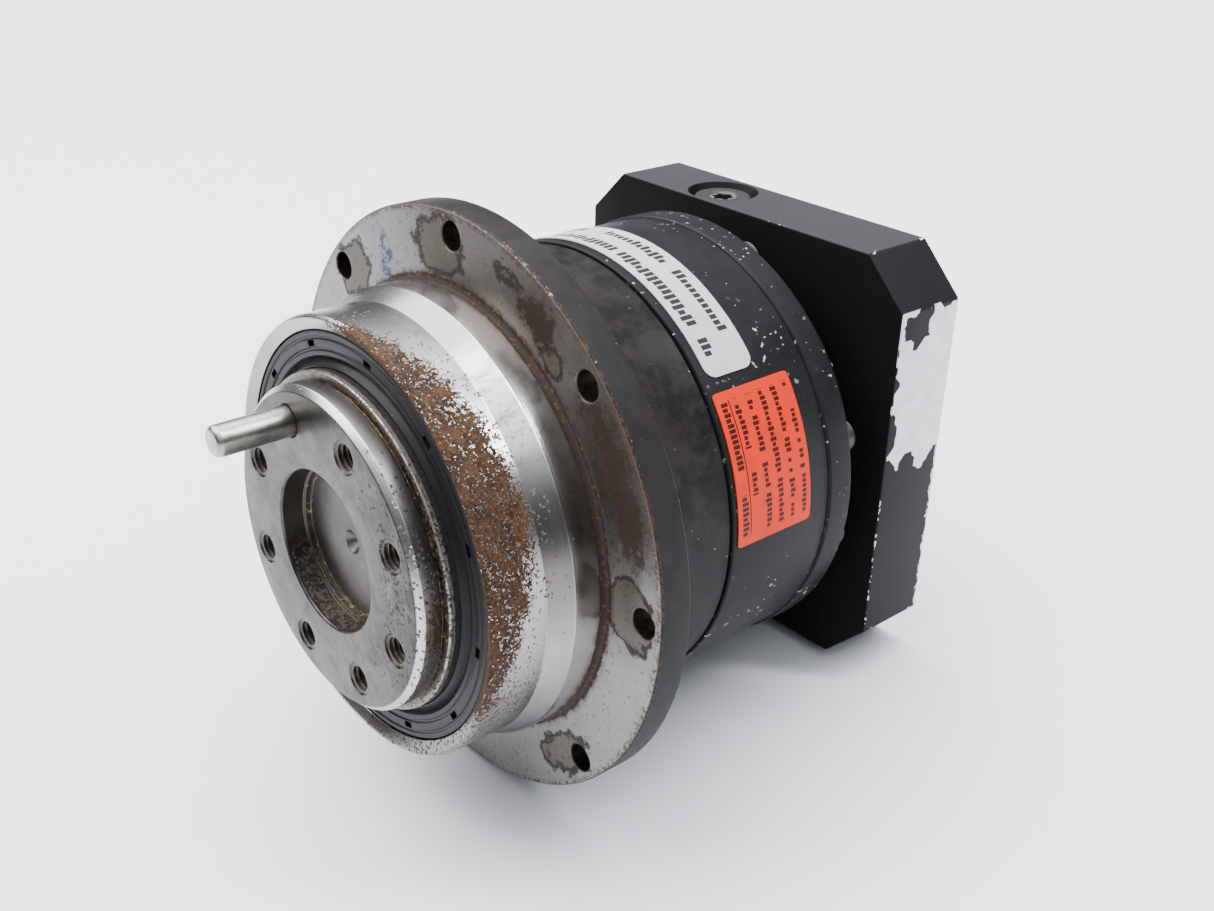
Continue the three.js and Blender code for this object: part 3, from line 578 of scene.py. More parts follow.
    # the blackened part
    mottle = p.noise(0.22, 6, 0.7, shift=4)
    haze = p.noise(0.09, 5, 0.6, shift=14)
    earthy = black * mottle.above(0.42, 0.62) * p.station.above(62, 44)
    rim = black * p.radius.above(58, 58.8)
    # painted shade: the blackened body darker towards its lower side
    painted_underside_shade = p.angle.within(88, 200, 24)
    rim_edge = p.station.above(31, 30.3) + p.station.above(36.4, 36.8) * 0.45
    rim_edge = rim * rim_edge * p.angle.within(-15, 140, 20) * p.flakes(coarse * 1.5 - 0.36, 2, ragged)
    fresh = p.station.above(31.5, 31) * (p.angle.within(8, 42, 8) * 0.24 + 0.02)
    fresh = rim_edge * p.flakes(fresh, 1.6, ragged)
    beside_hole = ((p.angle * (1 / 45) + 0.5).calc("FRACT") - 0.5) * (math.radians(45) * FLANGE_HOLE_RING)
    hole_wall = black * distance(beside_hole, p.radius - FLANGE_HOLE_RING).above(3.15, 2.95)
    dots = black * p.specks(0.55, 0.1, 0.14, 5)
    gilt = black * p.specks(0.8, 0.1, 0.1, 7)
    steel = p.mix(broad.above(0.35, 0.65), (0.25, 0.245, 0.236), (0.37, 0.36, 0.35))
    rust_tone = p.mix((grain * 0.6 + clumps * 0.4).above(0.4, 0.62),
                      (0.016, 0.008, 0.005), (0.088, 0.044, 0.023))
    wall_tone = p.mix(grain.above(0.45, 0.66), (0.02, 0.013, 0.008), (0.05, 0.039, 0.027))
    bare = p.layer(
        # painted shade: the bare nose darker towards its lower side
        steel, (nose * p.angle.above(92, 118) * 0.8, (0.115, 0.112, 0.107)),
        (polished * 0.75, (0.66, 0.65, 0.63)), (cone * (1 - painted_highlight) * 0.35, (0.17, 0.165, 0.16)),
        # painted highlight, then a painted dark reflection, on the cone and polished band
        (painted_highlight * 0.8, (0.8, 0.8, 0.79)), (painted_dark_reflection * 0.7, (0.105, 0.094, 0.084)),
        # the flange face tone, with painted shade on part of it
        (face * 0.6, (0.2, 0.197, 0.195)), (face * painted_face_shade * 0.85, (0.066, 0.058, 0.052)),
        (olive * 0.45, (0.095, 0.08, 0.058)),
        (brown * 0.8, (0.034, 0.022, 0.016)), (stained * 0.75, (0.08, 0.067, 0.047)),
        (ring * 0.95, (0.015, 0.01, 0.007)), (crumbs * 0.6, (0.045, 0.03, 0.022)),
        (face_rust * 0.92, (0.021, 0.011, 0.0075)),
        (nose_rust, rust_tone),
        (strays * 0.8, (0.05, 0.021, 0.012)), (root_rust * 0.92, (0.032, 0.015, 0.009)),
        (beads * 0.7, (0.2, 0.105, 0.04)), (edge_rust * 0.85, RUST), (ink * 0.9, (0.006, 0.018, 0.11)))
    dark = p.layer(
        (0.0055, 0.0055, 0.006), (mottle.above(0.42, 0.7) * 0.7, (0.026, 0.0245, 0.0235)),
        (haze.above(0.48, 0.62) * 0.5, (0.032, 0.03, 0.028)), (earthy * 0.75, (0.017, 0.011, 0.0075)),
        # painted shade on the lower side of the blackened body
        (rim * 0.4, (0.02, 0.02, 0.021)), (painted_underside_shade * 0.55, 0.004),
        (rim_edge * 0.8, RUST), (fresh * 0.8, (0.36, 0.3, 0.24)),
        (dots * 0.7, (0.24, 0.21, 0.17)), (gilt * 0.7, (0.3, 0.22, 0.11)),
        (hole_wall * 0.9, wall_tone))
    colour = p.mix(black, bare, dark)
    rusty = clamp01(nose_rust + root_rust * 0.9 + edge_rust + face_rust + strays)
    rough_bare = turned * 0.12 + broad * 0.08 + 0.16 - polished * 0.05 + face * 0.16 + stained * 0.12
    roughness = blend(black, rough_bare + rusty * 0.42, mottle * 0.28 + 0.36)
    painted = black * (1 - hole_wall * 0.8) * 0.8
    metallic = (1 - clamp01(rusty * 0.9 + ring * 0.5 + ink + brown * 0.3)) * (1 - painted)
    crust = nose_rust * (0.8 + grain * 1.6) + (face_rust + root_rust) * grain * 2 + beads
    height = turned * 0.25 + rays * face * 0.3 + crust + mottle * black * 0.9
    return p.done(colour, roughness, metallic, height, 0.05, specular=0.13)


def black_steel(name, wear_front, wear_back):
    """Satin blackened steel with light dots, fine scratches and bare chips along its edges."""
    p = Paint(name)
    mottle = p.noise(0.14, 6, 0.65, shift=2)
    grain = p.noise(2.4, 4, 0.7)
    turned = p.streaks(5, 0.01, 3, 0.7)
    scuff = p.noise(1, 5, 0.75, p.vector(p.x * 0.25, p.station * 2.2, p.z * 0.25), shift=5)
    crowd = p.noise(0.06, 4, shift=7).above(0.44, 0.64)
    crowd = crowd + p.angle.within(48, 62, 6) * 0.35
    dots = p.flakes(crowd * 0.016 + 0.003, 1.2, p.warped(1.2, 0.9))
    dots = dots + p.flakes(crowd * 0.024 + 0.002, 2.2, p.warped(2, 0.5, 4))
    small = p.specks(1.1, 0.14, 0.07, 3)
    edge = clamp01(p.station.above(wear_front + 0.5, wear_front + 0.1)
                   + p.station.above(wear_back - 0.7, wear_back - 0.25))
    chips = edge * p.noise(0.5, 5, 0.7, shift=4).above(0.63, 0.68)
    line = scuff.above(0.7, 0.76) * p.noise(0.1, 2, shift=6).above(0.5, 0.62)
    light = clamp01(dots + small * 0.7)
    # painted shade: darker towards the lower side
    painted_underside_shade = p.angle.within(92, 200, 24)
    colour = p.layer(
        (0.008, 0.008, 0.009), (mottle.above(0.35, 0.7) * 0.5, (0.017, 0.017, 0.018)),
        # painted shade on the lower side
        (painted_underside_shade * 0.5, 0.003), (line * 0.35, 0.07),
        (light * 0.9, (0.52, 0.49, 0.42)), (chips, 0.55))
    roughness = mottle * 0.22 + 0.34 + light * 0.2 - chips * 0.1
    height = grain * 0.4 + turned * 0.3 + light * 0.8 - chips * 1.5
    return p.done(colour, roughness, chips * 0.7 + 0.1, height, 0.02, specular=0.1)


def plate_black():
    """Black finish of the adapter plate, with the jagged bare patch on its +X side."""
    p = Paint("plate_black")
    fine = p.noise(3, 4, 0.7)
    broad = p.noise(0.05, 4)
    # the patch is decided cell by cell, so its edge is made of straight breaks
    cells = p.add("TexVoronoi", {"Vector": p.place, "Scale": 0.24}, distance="MANHATTAN")
    centre = cells.outputs["Position"]
    station, z = p.split(centre)[1:]
    side = p.x.above(PLATE_HALF - 0.35, PLATE_HALF - 0.2)
    wave = p.noise(0.12, 3, 0.6, centre, shift=2)
    left_edge = station - 104.4 - (wave - 0.5) * 5
    foot = z - 3.5 + (station - 112) * 0.25 - (wave - 0.5) * 14
    top = 30 + abs(station - 109) * 0.6 + (wave - 0.5) * 10 - z
    bare = left_edge.calc("MINIMUM", foot).calc("MINIMUM", top)
    bare = side * bare.above(0, 0.01)
    ragged_edge = p.noise(0.5, 4, 0.7, shift=12)
    trail = (p.station - 120.9 + (ragged_edge - 0.3) * 3.6).above(0, 0.04)
    trail = side * trail * p.z.within(-36, 5, 0.3)
    corner_chip = side * (5.4 - ((station - 103.5) + (36.5 - z) * 1.3)).above(0, 0.01)
    flat_x, flat_z = abs(p.x), abs(p.z)
    outer = flat_x.calc("MAXIMUM", flat_z)
    slant_at = 2 * PLATE_HALF - PLATE_CORNER  # where the sum of both is on a cut-off corner
    skew = abs(flat_x - flat_z) - PLATE_CORNER
    edge = outer.above(46.2, 46.42) * (p.station.above(103.75, 103.45) + p.station.above(120.5, 120.85))
    edge = clamp01(edge + outer.above(46.1, 46.4) * abs(skew).above(0.6, 0.2))
    back = p.station.above(119, 120.5) * 0.28 - 0.04
    low_corner = p.x.above(45.4, 46.2) * p.station.above(104.4, 103.6) * p.z.within(-47, -2, 3) * 0.34
    # painted shade: the cut-off corner faces are darker
    painted_corner_shade = (flat_x + flat_z).above(slant_at - 0.4, slant_at - 0.1)
    # painted light: the plate's top face is lighter
    painted_top_light = p.z.above(46.35, 46.48)
    nick_share = edge * (p.noise(0.25, 5, 0.7, shift=9) * 2.2 - 1.12 + back + low_corner)
    nicks = p.flakes(nick_share, 1.4, p.warped(1, 0.6))
    # painted shade: the front face, towards the body, nearly black
    painted_front_shade = p.station.above(103.45, 103.35)
    # painted shade: the access bore and its chamfer around the plug darkened to a black gap
    painted_well_shade = distance(p.x - ACCESS[0], p.station - ACCESS[1]).above(7.95, 7.7) * p.z.above(30, 31)
    dust = p.specks(0.7, 0.05, 0.006, 6)
    chips = clamp01(bare + trail + corner_chip + nicks)
    primer = p.mix(p.noise(0.3, 5, 0.6).above(0.3, 0.7), (0.62, 0.63, 0.65), (0.76, 0.77, 0.79))
    colour = p.layer(
        (0.022, 0.022, 0.0235), (broad.above(0.35, 0.7) * 0.5, (0.031, 0.031, 0.033)),
        # painted light on the top face and painted shade on the cut-off corner faces
        (painted_top_light * 0.8, (0.04, 0.04, 0.042)), (painted_corner_shade * 0.8, (0.009, 0.009, 0.01)),
        # painted shade on the front face and in the access bore around the plug
        (clamp01(painted_front_shade * 0.85 + painted_well_shade), 0.003),
        (dust * 0.6, 0.25), (chips, primer))
    roughness = broad * 0.12 + 0.42 + chips * 0.15
    height = fine * 0.25 - chips * 2
    return p.done(colour, roughness, chips * 0.25, height, 0.03, specular=0.04)


def seal_rubber():
    p = Paint("seal_rubber")
    rings = p.noise(1, 3, 0.6, p.vector(p.radius * 5, p.station * 3, p.angle * 0.02))
    dust = p.noise(0.7, 6, 0.75)
    specks = p.specks(1.3, 0.16, 0.05)
    colour = p.layer((0.008, 0.008, 0.009), (dust.above(0.55, 0.8) * 0.3, (0.05, 0.043, 0.036)),
                     (specks * 0.5, (0.22, 0.15, 0.08)))
    return p.done(colour, dust * 0.25 + 0.26, 0, rings * 0.6 + dust * 0.3, 0.03, specular=0.15)


def black_screw():
    p = Paint("black_screw")
    mottle = p.noise(0.9, 5, 0.7)
    worn = p.noise(0.35, 4, 0.6, shift=3)
    colour = p.layer((0.03, 0.03, 0.031), (mottle.above(0.5, 0.75) * 0.5, (0.08, 0.075, 0.07)),
                     (worn.above(0.62, 0.72) * 0.4, (0.22, 0.21, 0.2)))
    return p.done(colour, mottle * 0.25 + 0.3, 0.6, mottle, 0.03)


def plug_black():
    """The access plug: a dark finish with the corners of its socket worn bright."""
    p = Paint("plug_black")
    mottle = p.noise(0.9, 5, 0.7)
    away = distance(p.x - ACCESS[0], p.station - ACCESS[1])
    worn = away.within(1.9, 2.95, 0.2) * mottle.above(0.38, 0.55)
    worn = (worn + away.above(5.75, 6) * mottle.above(0.5, 0.7)) * p.z.above(45, 45.2)
    colour = p.layer((0.03, 0.03, 0.031), (mottle.above(0.5, 0.75) * 0.5, (0.06, 0.057, 0.055)),
                     (clamp01(worn) * 0.6, (0.26, 0.25, 0.24)))
    return p.done(colour, mottle * 0.25 + 0.35, 0.5, mottle, 0.03)


def inner_steel(name, tone, rough):
    """Clean ground steel of the inner parts, with grinding marks and a film of grease."""
    p = Paint(name)
    marks = p.streaks(6, 0.05, 4, 0.7)
    film = p.noise(0.12, 4, 0.6)
    colour = p.layer(tone, (film.above(0.45, 0.7) * 0.25, tuple(0.6 * c for c in tone)),
                     (marks.above(0.6, 0.8) * 0.2, tuple(min(1, 1.2 * c) for c in tone)))
    return p.done(colour, film * 0.2 + rough, 1, marks, 0.015)


def label_paper(name, ground, ink, rows, cells, seed, heavy):
    """A printed film with rows of plain blocks in place of words. It reads the label's own UV."""
    p = Paint(name)
    u, v = p.split(p.add("TexCoord", {}).outputs["UV"])[:2]

    def draw(*at):
        node = p.add("TexWhiteNoise", {"Vector": p.vector(*at)}, noise_dimensions="3D")
        return Value(p.tree, node.outputs["Value"])

    lines = v * float(rows)
    row = lines.calc("FLOOR")
    column = (u * float(cells)).calc("FLOOR")
    word = (u * (cells / 4.5) + draw(row, 1, seed)).calc("FLOOR")
    letter = draw(column, row, seed)
    bold = row.above(0.6, 0.4) * heavy
    low = 0.32 - letter.above(0.8, 0.81) * 0.08 - bold * 0.1
    tall = 0.6 + letter.above(0.45, 0.46) * 0.12 + bold * 0.14
    across = (u * float(cells)).calc("FRACT").within(0.14, 0.9, 0.03)
    inside_row = lines.calc("FRACT")
    up = (inside_row - low).above(-0.02, 0.02) * (tall - inside_row).above(-0.02, 0.02)
    printed = across * up * draw(word, row, seed + 5).above(0.16, 0.17) * letter.above(0.07, 0.08)
    printed = printed * u.within(0.06, 0.94, 0.004) * v.within(0.06, 0.94, 0.01)
    rule = v.within(0.16, 0.174, 0.002) * u.within(0.06, 0.94, 0.004) * heavy
    printed = clamp01(printed + rule)
    scuff = p.noise(0.9, 6, 0.8, shift=seed).above(0.66, 0.72)
    fade = p.noise(0.15, 4, 0.6)
    faded = p.mix(fade.above(0.3, 0.75), ground, tuple(0.86 * c for c in ground))
    colour = p.layer(faded, (printed * (1 - scuff * 0.7) * 0.97, ink),
                     (scuff * 0.3, tuple(0.5 + 0.4 * c for c in ground)))
    return p.done(colour, fade * 0.15 + 0.4, 0, fade + printed * 0.1, 0.02, specular=0.15)


# ---- output side ----
def build_output_flange(shader, thread):
    piece = turned("output_flange", [
        (0, 10.4), (0.8, 10), (0.8, 8.2), (2.4, 6), (15.2, 6), (15.2, 4.9), (15.75, 4.7),
        (15.75, 0.35), (16.1, 0), (30.3, 0), (31.5, 1.2), (31.5, 4.35), (31.25, 4.7), (31, 4.8),
        (31, 5.05), (31.3, 5.15), (32.75, 5.15), (33, 5.4), (33, 16.8), (30, 17.3),
        (27.4, 17.3), (27.4, 33.3), (24.9, 33.3), (24.9, 45.6), (24.4, 45.6), (24.4, 50.3),
        (17, 50.3), (17, 56), (0, 56)], 0.14, 256)
    pin_hole = hole(3.1, 0, 9.3, 0.25)(on_circle(OUTPUT_HOLE_RING, OUTPUT_ANGLES[0]))
    thread_cutter = threaded(2.52, 3, 1, 0, 11.5, 0.35)
    cut(piece, [pin_hole, *around(OUTPUT_HOLE_RING, OUTPUT_ANGLES[1:], thread_cutter)])
    finish_piece(piece, "output_flange", shader)
    paint_near(piece, thread, OUTPUT_HOLE_RING, OUTPUT_ANGLES[1:], 3.25, 0.45)


def paint_near(piece, shader, ring, angles, radius, deeper_than):
    """Gives the walls of the holes on a circle a material of their own."""
    piece.data.materials.append(shader)
    centres = [Vector((x * MM, 0, z * MM)) for x, z in (on_circle(ring, a) for a in angles)]
    for polygon in piece.data.polygons:
        middle = polygon.center
        if middle.y < FACE_Y + deeper_than * MM:
            continue
        flat = Vector((middle.x, 0, middle.z))
        if any((flat - c).length < radius * MM for c in centres):
            polygon.material_index = len(piece.data.materials) - 1


def build_dowel_pin(shader):
    outline = soften([(0, -15), (2.35, -15), (2.85, -14.55), (3, -14), (3, 9), (0, 9)], 0.2, 4)
    piece = lathe("dowel_pin_fine", outline, 64, on_circle(OUTPUT_HOLE_RING, OUTPUT_ANGLES[0]))
    finish_piece(piece, "dowel_pin", shader, 40)


def build_output_seal(shader):
    outline = [
        (39.95, 8.1), (39.7, 7.9), (38.9, 7.9), (38.75, 8.15), (38.35, 8.15), (38.2, 7.9), (36.75, 7.9),
        (36.6, 8.2), (36.2, 8.2), (36.05, 7.95), (35.2, 7.95), (34.9, 8.3), (34.5, 8.9), (33.9, 8),
        (33.4, 7.35), (33.2, 7.3), (33.2, 8.4), (34.4, 15.9), (39.95, 15.9)]
    piece = lathe("output_seal_fine", soften(outline, 0.08, 2), 240)
    notches = []
    for k in range(12):
        tool = block((-1.2, 7, 36.9), (1.2, 8.7, 38.1))
        tool.data.transform(Matrix.Rotation(math.radians(30 * k + 9), 4, "Y"))
        notches.append(tool)
    cut(piece, notches)
    finish_piece(piece, "output_seal", shader)


def build_output_housing(shader):
    piece = turned("output_housing", [
        (40.1, 7.75), (42.1, 6.6), (42.55, 6.6), (43, 7.4), (43, 18.3), (45, 23), (45, 28.6),
        (44.5, 28.9), (44.5, 30), (58.65, 30), (59, 30.35), (59, 36.65), (58.65, 37),
        (46.3, 37), (46, 37.3), (46, 59.2), (45.8, 59.5), (39, 59.5), (39, 56), (36.1, 56),
        (36.1, 33.3), (33, 33.3), (33, 31), (40.1, 31)], 0.16, 288)
    flange_hole = hole(2.75, FLANGE_FACE, FLANGE_BACK, 0.3, through=True)
    cut(piece, [*around(FLANGE_HOLE_RING, EIGHTHS, flange_hole),
                *around(CASE_SCREW_RING, CASE_SCREW_ANGLES, hole(2.1, 46.8, 60.5, 0, 32))])
    finish_piece(piece, "output_housing", shader)


# ---- gear case ----
def ring_spaces():
    """The bore of the ring gear: 72 involute spaces of module 1 at a 25 degree pressure angle."""
    teeth, pressure = 72, math.radians(25)
    base = teeth / 2 * math.cos(pressure)
    involute = lambda a: math.tan(a) - a
    points = []
    for k in range(teeth):
        middle = 2 * math.pi * k / teeth
        flank = []
        for radius in np.linspace(teeth / 2 + 1.15, teeth / 2 - 0.9, 4):
            local = math.acos(min(1, base / radius))
            flank.append((radius, (math.pi / 2 + 0.16) / teeth + involute(pressure) - involute(local)))
        for radius, offset in [(r, -o) for r, o in flank[::-1]] + flank:
            points.append((radius * math.sin(middle + offset), radius * math.cos(middle + offset)))
    return points


def build_ring_gear(shader):
    piece = turned("ring_gear", [
        (30, 56.3), (38.9, 56.3), (38.9, 59.8), (46.2, 59.8), (46.5, 60.1), (46.5, 86.1), (38.9, 86.1),
        (38.9, 89), (30, 89)], 0.12, 256)
    cut(piece, [prism("spaces", ring_spaces(), 55.3, 90)])
    cut(piece, around(CASE_SCREW_RING, CASE_SCREW_ANGLES, hole(2.25, 58.8, 87, 0, 32)))
    finish_piece(piece, "ring_gear", shader)


def build_input_housing(shader):
    piece = turned("input_housing", [
        (39, 86.12), (46.6, 86.12), (47, 86.6), (47, 92.3), (46.5, 92.8), (38.1, 92.8), (37.5, 93.4),
        (37.5, 102.7), (37.2, 103), (30, 103), (30, 104.7), (29.7, 105), (23.6, 105),
        (23.6, 87.8), (21.8, 87.8), (21.8, 86.8), (30, 86.8), (30, 89.3), (39, 89.3)], 0.15, 256)
    cut(piece, [*around(CASE_SCREW_RING, CASE_SCREW_ANGLES, hole(2.25, 85.2, 93.8, 0, 32)),
                *around(PLATE_SCREW_RING, DIAGONALS, hole(2.6, 93.5, 104, 0, 32))])
    finish_piece(piece, "input_housing", shader)


def screw_mesh(name, radius, head_r, head, length, socket):
    """A socket-head screw: its seat at the origin, its head towards +Y. The head has a knurled rim."""
    grip = head_r - 0.16
    outline = soften([
        (0, -length), (radius - 0.5, -length), (radius, -length + 0.5), (radius, -0.25), (radius + 0.2, 0),
        (grip, 0), (grip, head - 0.75), (head_r - 0.1, head - 0.65), (head_r, head - 0.45),
        (head_r - 0.45, head), (0, head)], 0.08, 2)

    def knurl(degrees, r, s):
        ridge = np.where((s > 0.3) & (s < head - 0.8) & (r > grip - 0.05), 0.1, 0)
        return r + ridge * (np.cos(np.radians(degrees) * 36) > 0), s

    piece = lathe(name, outline, 144, warp=knurl)
    hexagon = [on_circle(socket / math.sqrt(3), 60 * k + 30) for k in range(6)]
    cut(piece, [prism("socket", hexagon, head * 0.42, head + 1)])
    piece.data.transform(Matrix.Translation((0, -FACE_Y, 0)))
    return piece


def place_screws(name, pattern, seat, ring, angles, shader):
    mesh = pattern.data
    for i, degrees in enumerate(angles):
        x, z = on_circle(ring, degrees)
        piece = add_object(f"{name}_{i + 1}_fine", mesh)
        piece.location = (x * MM, FACE_Y + seat * MM, z * MM)
        piece.rotation_euler = (0, math.radians(37 * i + 11), 0)
        finish_piece(piece, f"{name}_{i + 1}", shader)
    bpy.data.objects.remove(pattern)


# ---- motor side ----
def build_adapter_plate(shader):
    h, c = PLATE_HALF, PLATE_HALF - PLATE_CORNER
    corners = [(-c, -h), (c, -h), (h, -c), (h, c), (c, h), (-c, h), (-h, c), (-h, -c)]
    piece = prism("adapter_plate_fine", corners, PLATE_FRONT, PLATE_BACK)
    bevel = piece.modifiers.new("edges", "BEVEL")
    bevel.width, bevel.segments, bevel.limit_method = 0.45 * MM, 3, "ANGLE"
    bevel.angle_limit = math.radians(20)
    apply_modifiers(piece)
    bore = lathe("bore", soften([
        (0, 102.3), (30.1, 102.3), (30.1, 105.3), (24, 105.3), (24, 116), (40, 116),
        (40, 120.4), (40.6, 121), (40.6, 122), (0, 122)], 0.1), 192)
    cut(piece, [bore])
    access = lathe("access", [
        (0, 10), (6.4, 10), (6.4, 45), (7.85, 46.45), (7.85, 47.5), (0, 47.5)], 96, ACCESS, True)
    cut(piece, [access])
    seat = [(0, 102.3), (2.75, 102.3), (2.75, PLATE_SCREW_SEAT), (4.6, PLATE_SCREW_SEAT),
            (4.6, 117), (0, 117)]
    seats = [lathe("seat", seat, 48, on_circle(PLATE_SCREW_RING, a)) for a in DIAGONALS]
    tapped = [(0, 107), (2.55, 107)]
    for k in range(16):
        tapped += [(2.55, 107.1 + 0.8 * k), (2.95, 107.5 + 0.8 * k)]
    tapped += [(2.55, 120.2), (3.9, 122), (0, 122)]
    threads = [lathe("tapped", tapped, 32, on_circle(MOTOR_HOLE_RING, a)) for a in DIAGONALS]
    cut(piece, seats + threads)
    finish_piece(piece, "adapter_plate", shader)


def build_access_plug(shader):
    piece = turned("access_plug", [
        (0, 36.6), (5.9, 36.6), (6.3, 37), (6.3, 45.2), (5.9, 45.6), (3.4, 45.6), (3, 45.3),
        (0, 45.3)], 0.15, 96, ACCESS, True)
    lobes = []
    for k in range(72):
        degrees = 5 * k
        lobes.append(on_circle(2.25 + 0.32 * math.cos(math.radians(6 * degrees)), degrees))
    cut(piece, [prism("socket", lobes, 42.3, 46.5, ACCESS)])
    finish_piece(piece, "access_plug", shader)


def build_input_shaft(shader):
    piece = turned("input_shaft", [
        (4.8, 85.9), (14.9, 85.9), (14.9, 86.5), (13.9, 86.5), (13.9, 87.4), (14.9, 87.4), (14.9, 103.5),
        (18.5, 103.7), (18.5, 115.5), (18.1, 115.9), (8.5, 115.9), (8, 115.4), (8, 92),
        (4.8, 92)], 0.12, 160)
    cut(piece, [block((-19.5, 106, -1), (-4, 116.9, 1))])
    drill = [(0, -19), (2.75, -19), (2.75, 8), (4.5, 8), (4.5, 19), (0, 19)]
    cut(piece, [lathe("screw_hole", drill, 48, ACCESS, True)])
    finish_piece(piece, "input_shaft", shader)


def build_clamp_screw(pattern, shader):
    pattern.data.transform(Matrix.Rotation(math.radians(90), 4, "X"))
    pattern.data.transform(Matrix.Translation((ACCESS[0] * MM, FACE_Y + ACCESS[1] * MM, 8.1 * MM)))
    pattern.name = "clamp_screw_fine"
    finish_piece(pattern, "clamp_screw", shader)


def build_input_seal(shader):
    piece = turned("input_seal", [
        (23.5, 97.6), (23.5, 102.8), (15.5, 102.8), (15.1, 102.4), (15.1, 101.6), (17.1, 100.4),
        (17.1, 97.6)], 0.15, 160)
    finish_piece(piece, "input_seal", shader)


def build_label(name, node, shader, front, back, start, end, corner):
    """A film wrapped round the ring gear, with rounded corners and its own UV."""
    width, height = math.radians(end - start) * RING_R, back - front
    across, up = 72, 24
    inner_r, outer_r = RING_R + 0.1, RING_R + 0.32
    grid, faces = [], []
    for layer_r in (outer_r, inner_r):
        for i in range(across + 1):
            for j in range(up + 1):
                u, v = i / across, j / up
                a, b = u * width, v * height
                # pull the points beyond each rounded corner back onto its arc
                ca = min(max(a, corner), width - corner)
                cb = min(max(b, corner), height - corner)
                da, db = a - ca, b - cb
                if da and db:
                    far = max(abs(da), abs(db)) / math.hypot(da, db)
                    da, db = da * far, db * far
                a, b = ca + da, cb + db
                degrees = start + math.degrees(a / RING_R)
                x, z = on_circle(layer_r, degrees)
                grid.append((x, front + b, z))
    layer = (across + 1) * (up + 1)
    at = lambda side, i, j: side * layer + i * (up + 1) + j
    for side in (0, 1):
        for i in range(across):
            for j in range(up):
                quad = ((i, j), (i + 1, j), (i + 1, j + 1), (i, j + 1))
                faces.append([at(side, *corner_at) for corner_at in quad])
    rim = [(i, 0) for i in range(across)] + [(across, j) for j in range(up)]
    rim += [(i, up) for i in range(across, 0, -1)] + [(0, j) for j in range(up, 0, -1)]
    for k, (i, j) in enumerate(rim):
        m, n = rim[(k + 1) % len(rim)]
        faces.append((at(0, i, j), at(0, m, n), at(1, m, n), at(1, i, j)))
    piece = add_mesh(name, grid, faces)
    sheet = piece.data.uv_layers.new(name="label")
    for loop in piece.data.loops:
        point = piece.data.vertices[loop.vertex_index].co
        degrees = math.degrees(math.atan2(point.x, point.z))
        station = (point.y - FACE_Y) / MM
        sheet.data[loop.index].uv = ((degrees - start) / (end - start), (station - front) / height)
    finish_piece(piece, node, shader)


# ---- build ----
screws = black_screw()
rubber = seal_rubber()
bright = output_steel()
build_output_flange(bright, thread_steel())
build_dowel_pin(pin_steel())
build_output_seal(rubber)
build_output_housing(housing_steel())
build_ring_gear(black_steel("ring_black", 59.8, 85.9))
build_input_housing(black_steel("rear_black", 86.2, 92.8))
place_screws("case_screw", screw_mesh("case_pattern", 2, 3.5, 4, 45, 3), REAR_BACK,
             CASE_SCREW_RING, CASE_SCREW_ANGLES, screws)
place_screws("plate_screw", screw_mesh("plate_pattern", 2.5, 4.25, 5, 16, 4), PLATE_SCREW_SEAT,
             PLATE_SCREW_RING, DIAGONALS, screws)
build_adapter_plate(plate_black())
build_access_plug(plug_black())
ground = inner_steel("ground_steel", (0.24, 0.24, 0.24), 0.24)
build_input_shaft(ground)
build_clamp_screw(screw_mesh("clamp_pattern", 2.5, 4.25, 5, 18.5, 4), screws)
build_input_seal(rubber)
build_label("rating_label_fine", "rating_label",
            label_paper("label_white", (0.5, 0.5, 0.51), (0.003, 0.003, 0.004), 2, 46, 3, 0),
            61.7, 73.7, -27, 49.5, 2.5)
build_label("notice_label_fine", "notice_label",
            label_paper("label_orange", (0.64, 0.022, 0.001), (0.014, 0.003, 0.003), 6, 30, 8, 1),
            60.8, 80.6, 53, 90, 0.8)

bearing = inner_steel("bearing_steel", (0.38, 0.38, 0.39), 0.14)
REPLACED = {n for o in bpy.context.scene.objects for n in o.get("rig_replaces", [])}
for node_name, node in frame["nodes"].items():
    if node_name in REPLACED:
        continue
    polished = any(word in node_name for word in ("bearing", "pin", "needle"))
    node.data.materials.clear()
    node.data.materials.append(bearing if polished else screws if "retaining" in node_name else ground)


# ---- floor, light and camera ----
FLOOR_HALF_M, FLOOR_GAP_M = 3, 0.0002


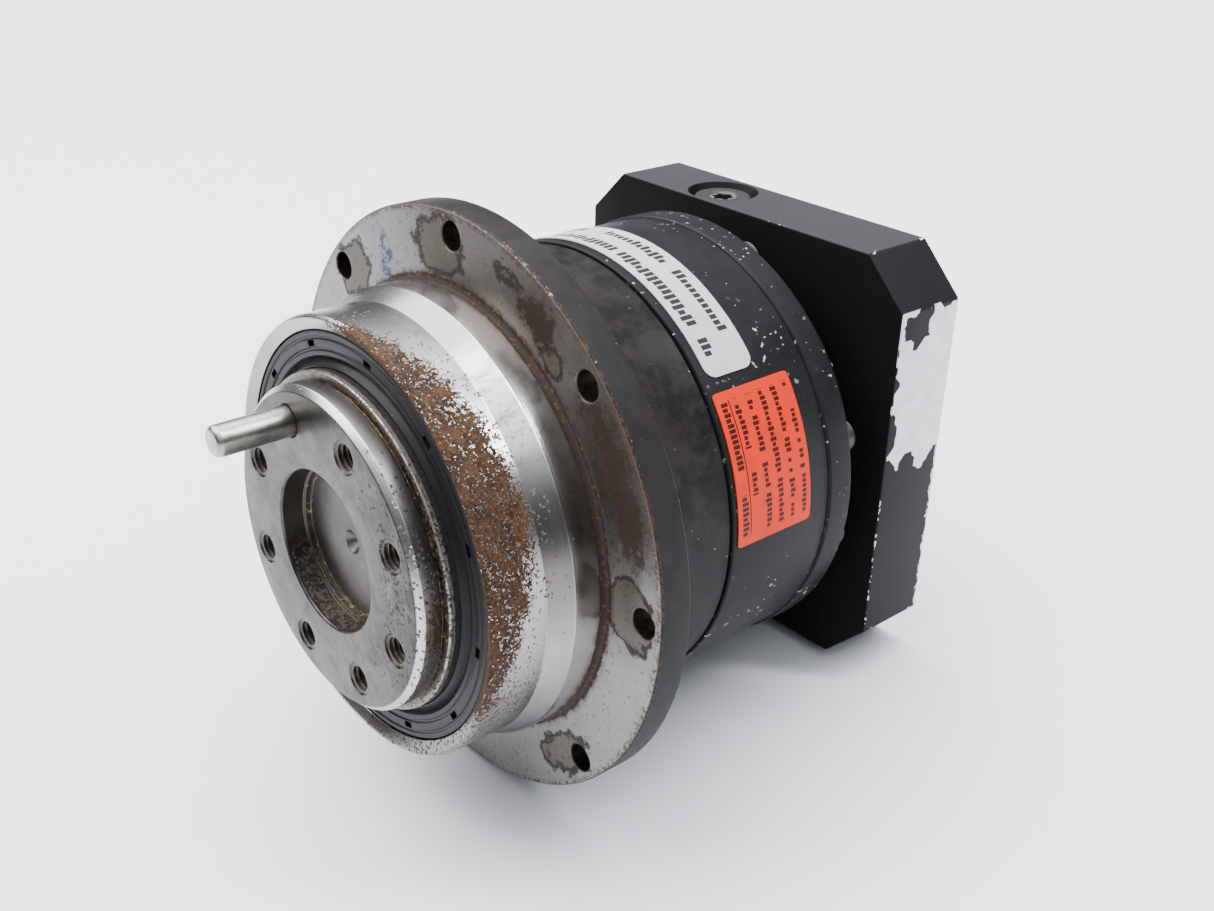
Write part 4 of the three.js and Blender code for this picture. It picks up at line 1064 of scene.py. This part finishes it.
def build_stage():
    """A pale floor under the rim and the plate's foot, which the gearbox leans back on."""
    rim_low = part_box("output_housing")[0].z
    plate_low, plate_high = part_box("adapter_plate")
    rim_y = FACE_Y + FLANGE_BACK * MM
    slope = (plate_low.z - rim_low) / (plate_high.y - rim_y)
    normal = Vector((0, -slope, 1)).normalized()
    half = FLOOR_HALF_M / MM
    floor = add_mesh("floor", [(x, y, 0) for x in (-half, half) for y in (-half, half)], [(0, 1, 3, 2)])
    floor.data.transform(Matrix.Translation((0, -FACE_Y, 0)))
    floor.rotation_mode = "QUATERNION"
    floor.rotation_quaternion = Vector((0, 0, 1)).rotation_difference(normal)
    floor.location = Vector((0, rim_y, rim_low)) - normal * FLOOR_GAP_M
    paint = bpy.data.materials.new("pale_floor")
    paint.use_nodes = True
    connect(paint.node_tree, paint.node_tree.nodes["Principled BSDF"], {
        "Base Color": (0.87, 0.88, 0.91, 1), "Roughness": 0.65, "Specular IOR Level": 0.2})
    floor.data.materials.append(paint)


def build_light(name, place, size, power, tone):
    """An area light that looks at the middle of the gearbox."""
    data = bpy.data.lights.new(name, "AREA")
    data.shape, data.size, data.size_y = "RECTANGLE", size[0], size[1]
    data.energy, data.color = power, tone
    lamp = add_object(name, data)
    lamp.location = place
    lamp.rotation_mode = "QUATERNION"
    lamp.rotation_quaternion = (-Vector(place)).to_track_quat("-Z", "Y")


def build_world():
    """A pale room: bright overhead, darker towards the horizon."""
    world = bpy.data.worlds.new("studio")
    bpy.context.scene.world = world
    world.use_nodes = True
    tree = world.node_tree
    direction = add_node(tree, "TexCoord", {}).outputs["Generated"]
    rise = add_node(tree, "SeparateXYZ", {0: direction}).outputs[2]
    ramp = add_node(tree, "MapRange", {
        "Value": rise, "From Min": 0.32, "From Max": 0.8, "To Min": 0.2, "To Max": 2.5,
    }, interpolation_type="SMOOTHSTEP")
    connect(tree, tree.nodes["Background"], {
        "Strength": ramp.outputs["Result"], "Color": (0.86, 0.89, 0.96, 1)})


def build_camera():
    azimuth, elevation, roll = (math.radians(a) for a in (48.758, 26.507, 1.502))
    back = Vector((math.sin(azimuth) * math.cos(elevation), -math.cos(azimuth) * math.cos(elevation),
                   math.sin(elevation)))
    level = Vector((math.cos(azimuth), math.sin(azimuth), 0))
    rise = back.cross(level)
    right = level * math.cos(roll) + rise * math.sin(roll)
    up = rise * math.cos(roll) - level * math.sin(roll)
    data = bpy.data.cameras.new("camera")
    data.sensor_width, data.lens = 36, 41
    data.clip_start, data.clip_end = 0.01, 20
    camera = add_object("camera", data)
    turn = Matrix((right, up, back)).transposed().to_4x4()
    camera.matrix_world = Matrix.Translation((0.1987, FACE_Y - 0.10557, 0.13054)) @ turn
    bpy.context.scene.camera = camera


build_stage()
build_world()
build_light("key", (-0.5, -0.25, 1.00), (1.4, 1.4), 44, (1, 0.985, 0.97))
build_light("strip", (0.4, 0.28, 0.92), (0.09, 0.85), 9.5, (0.98, 0.99, 1))
build_camera()
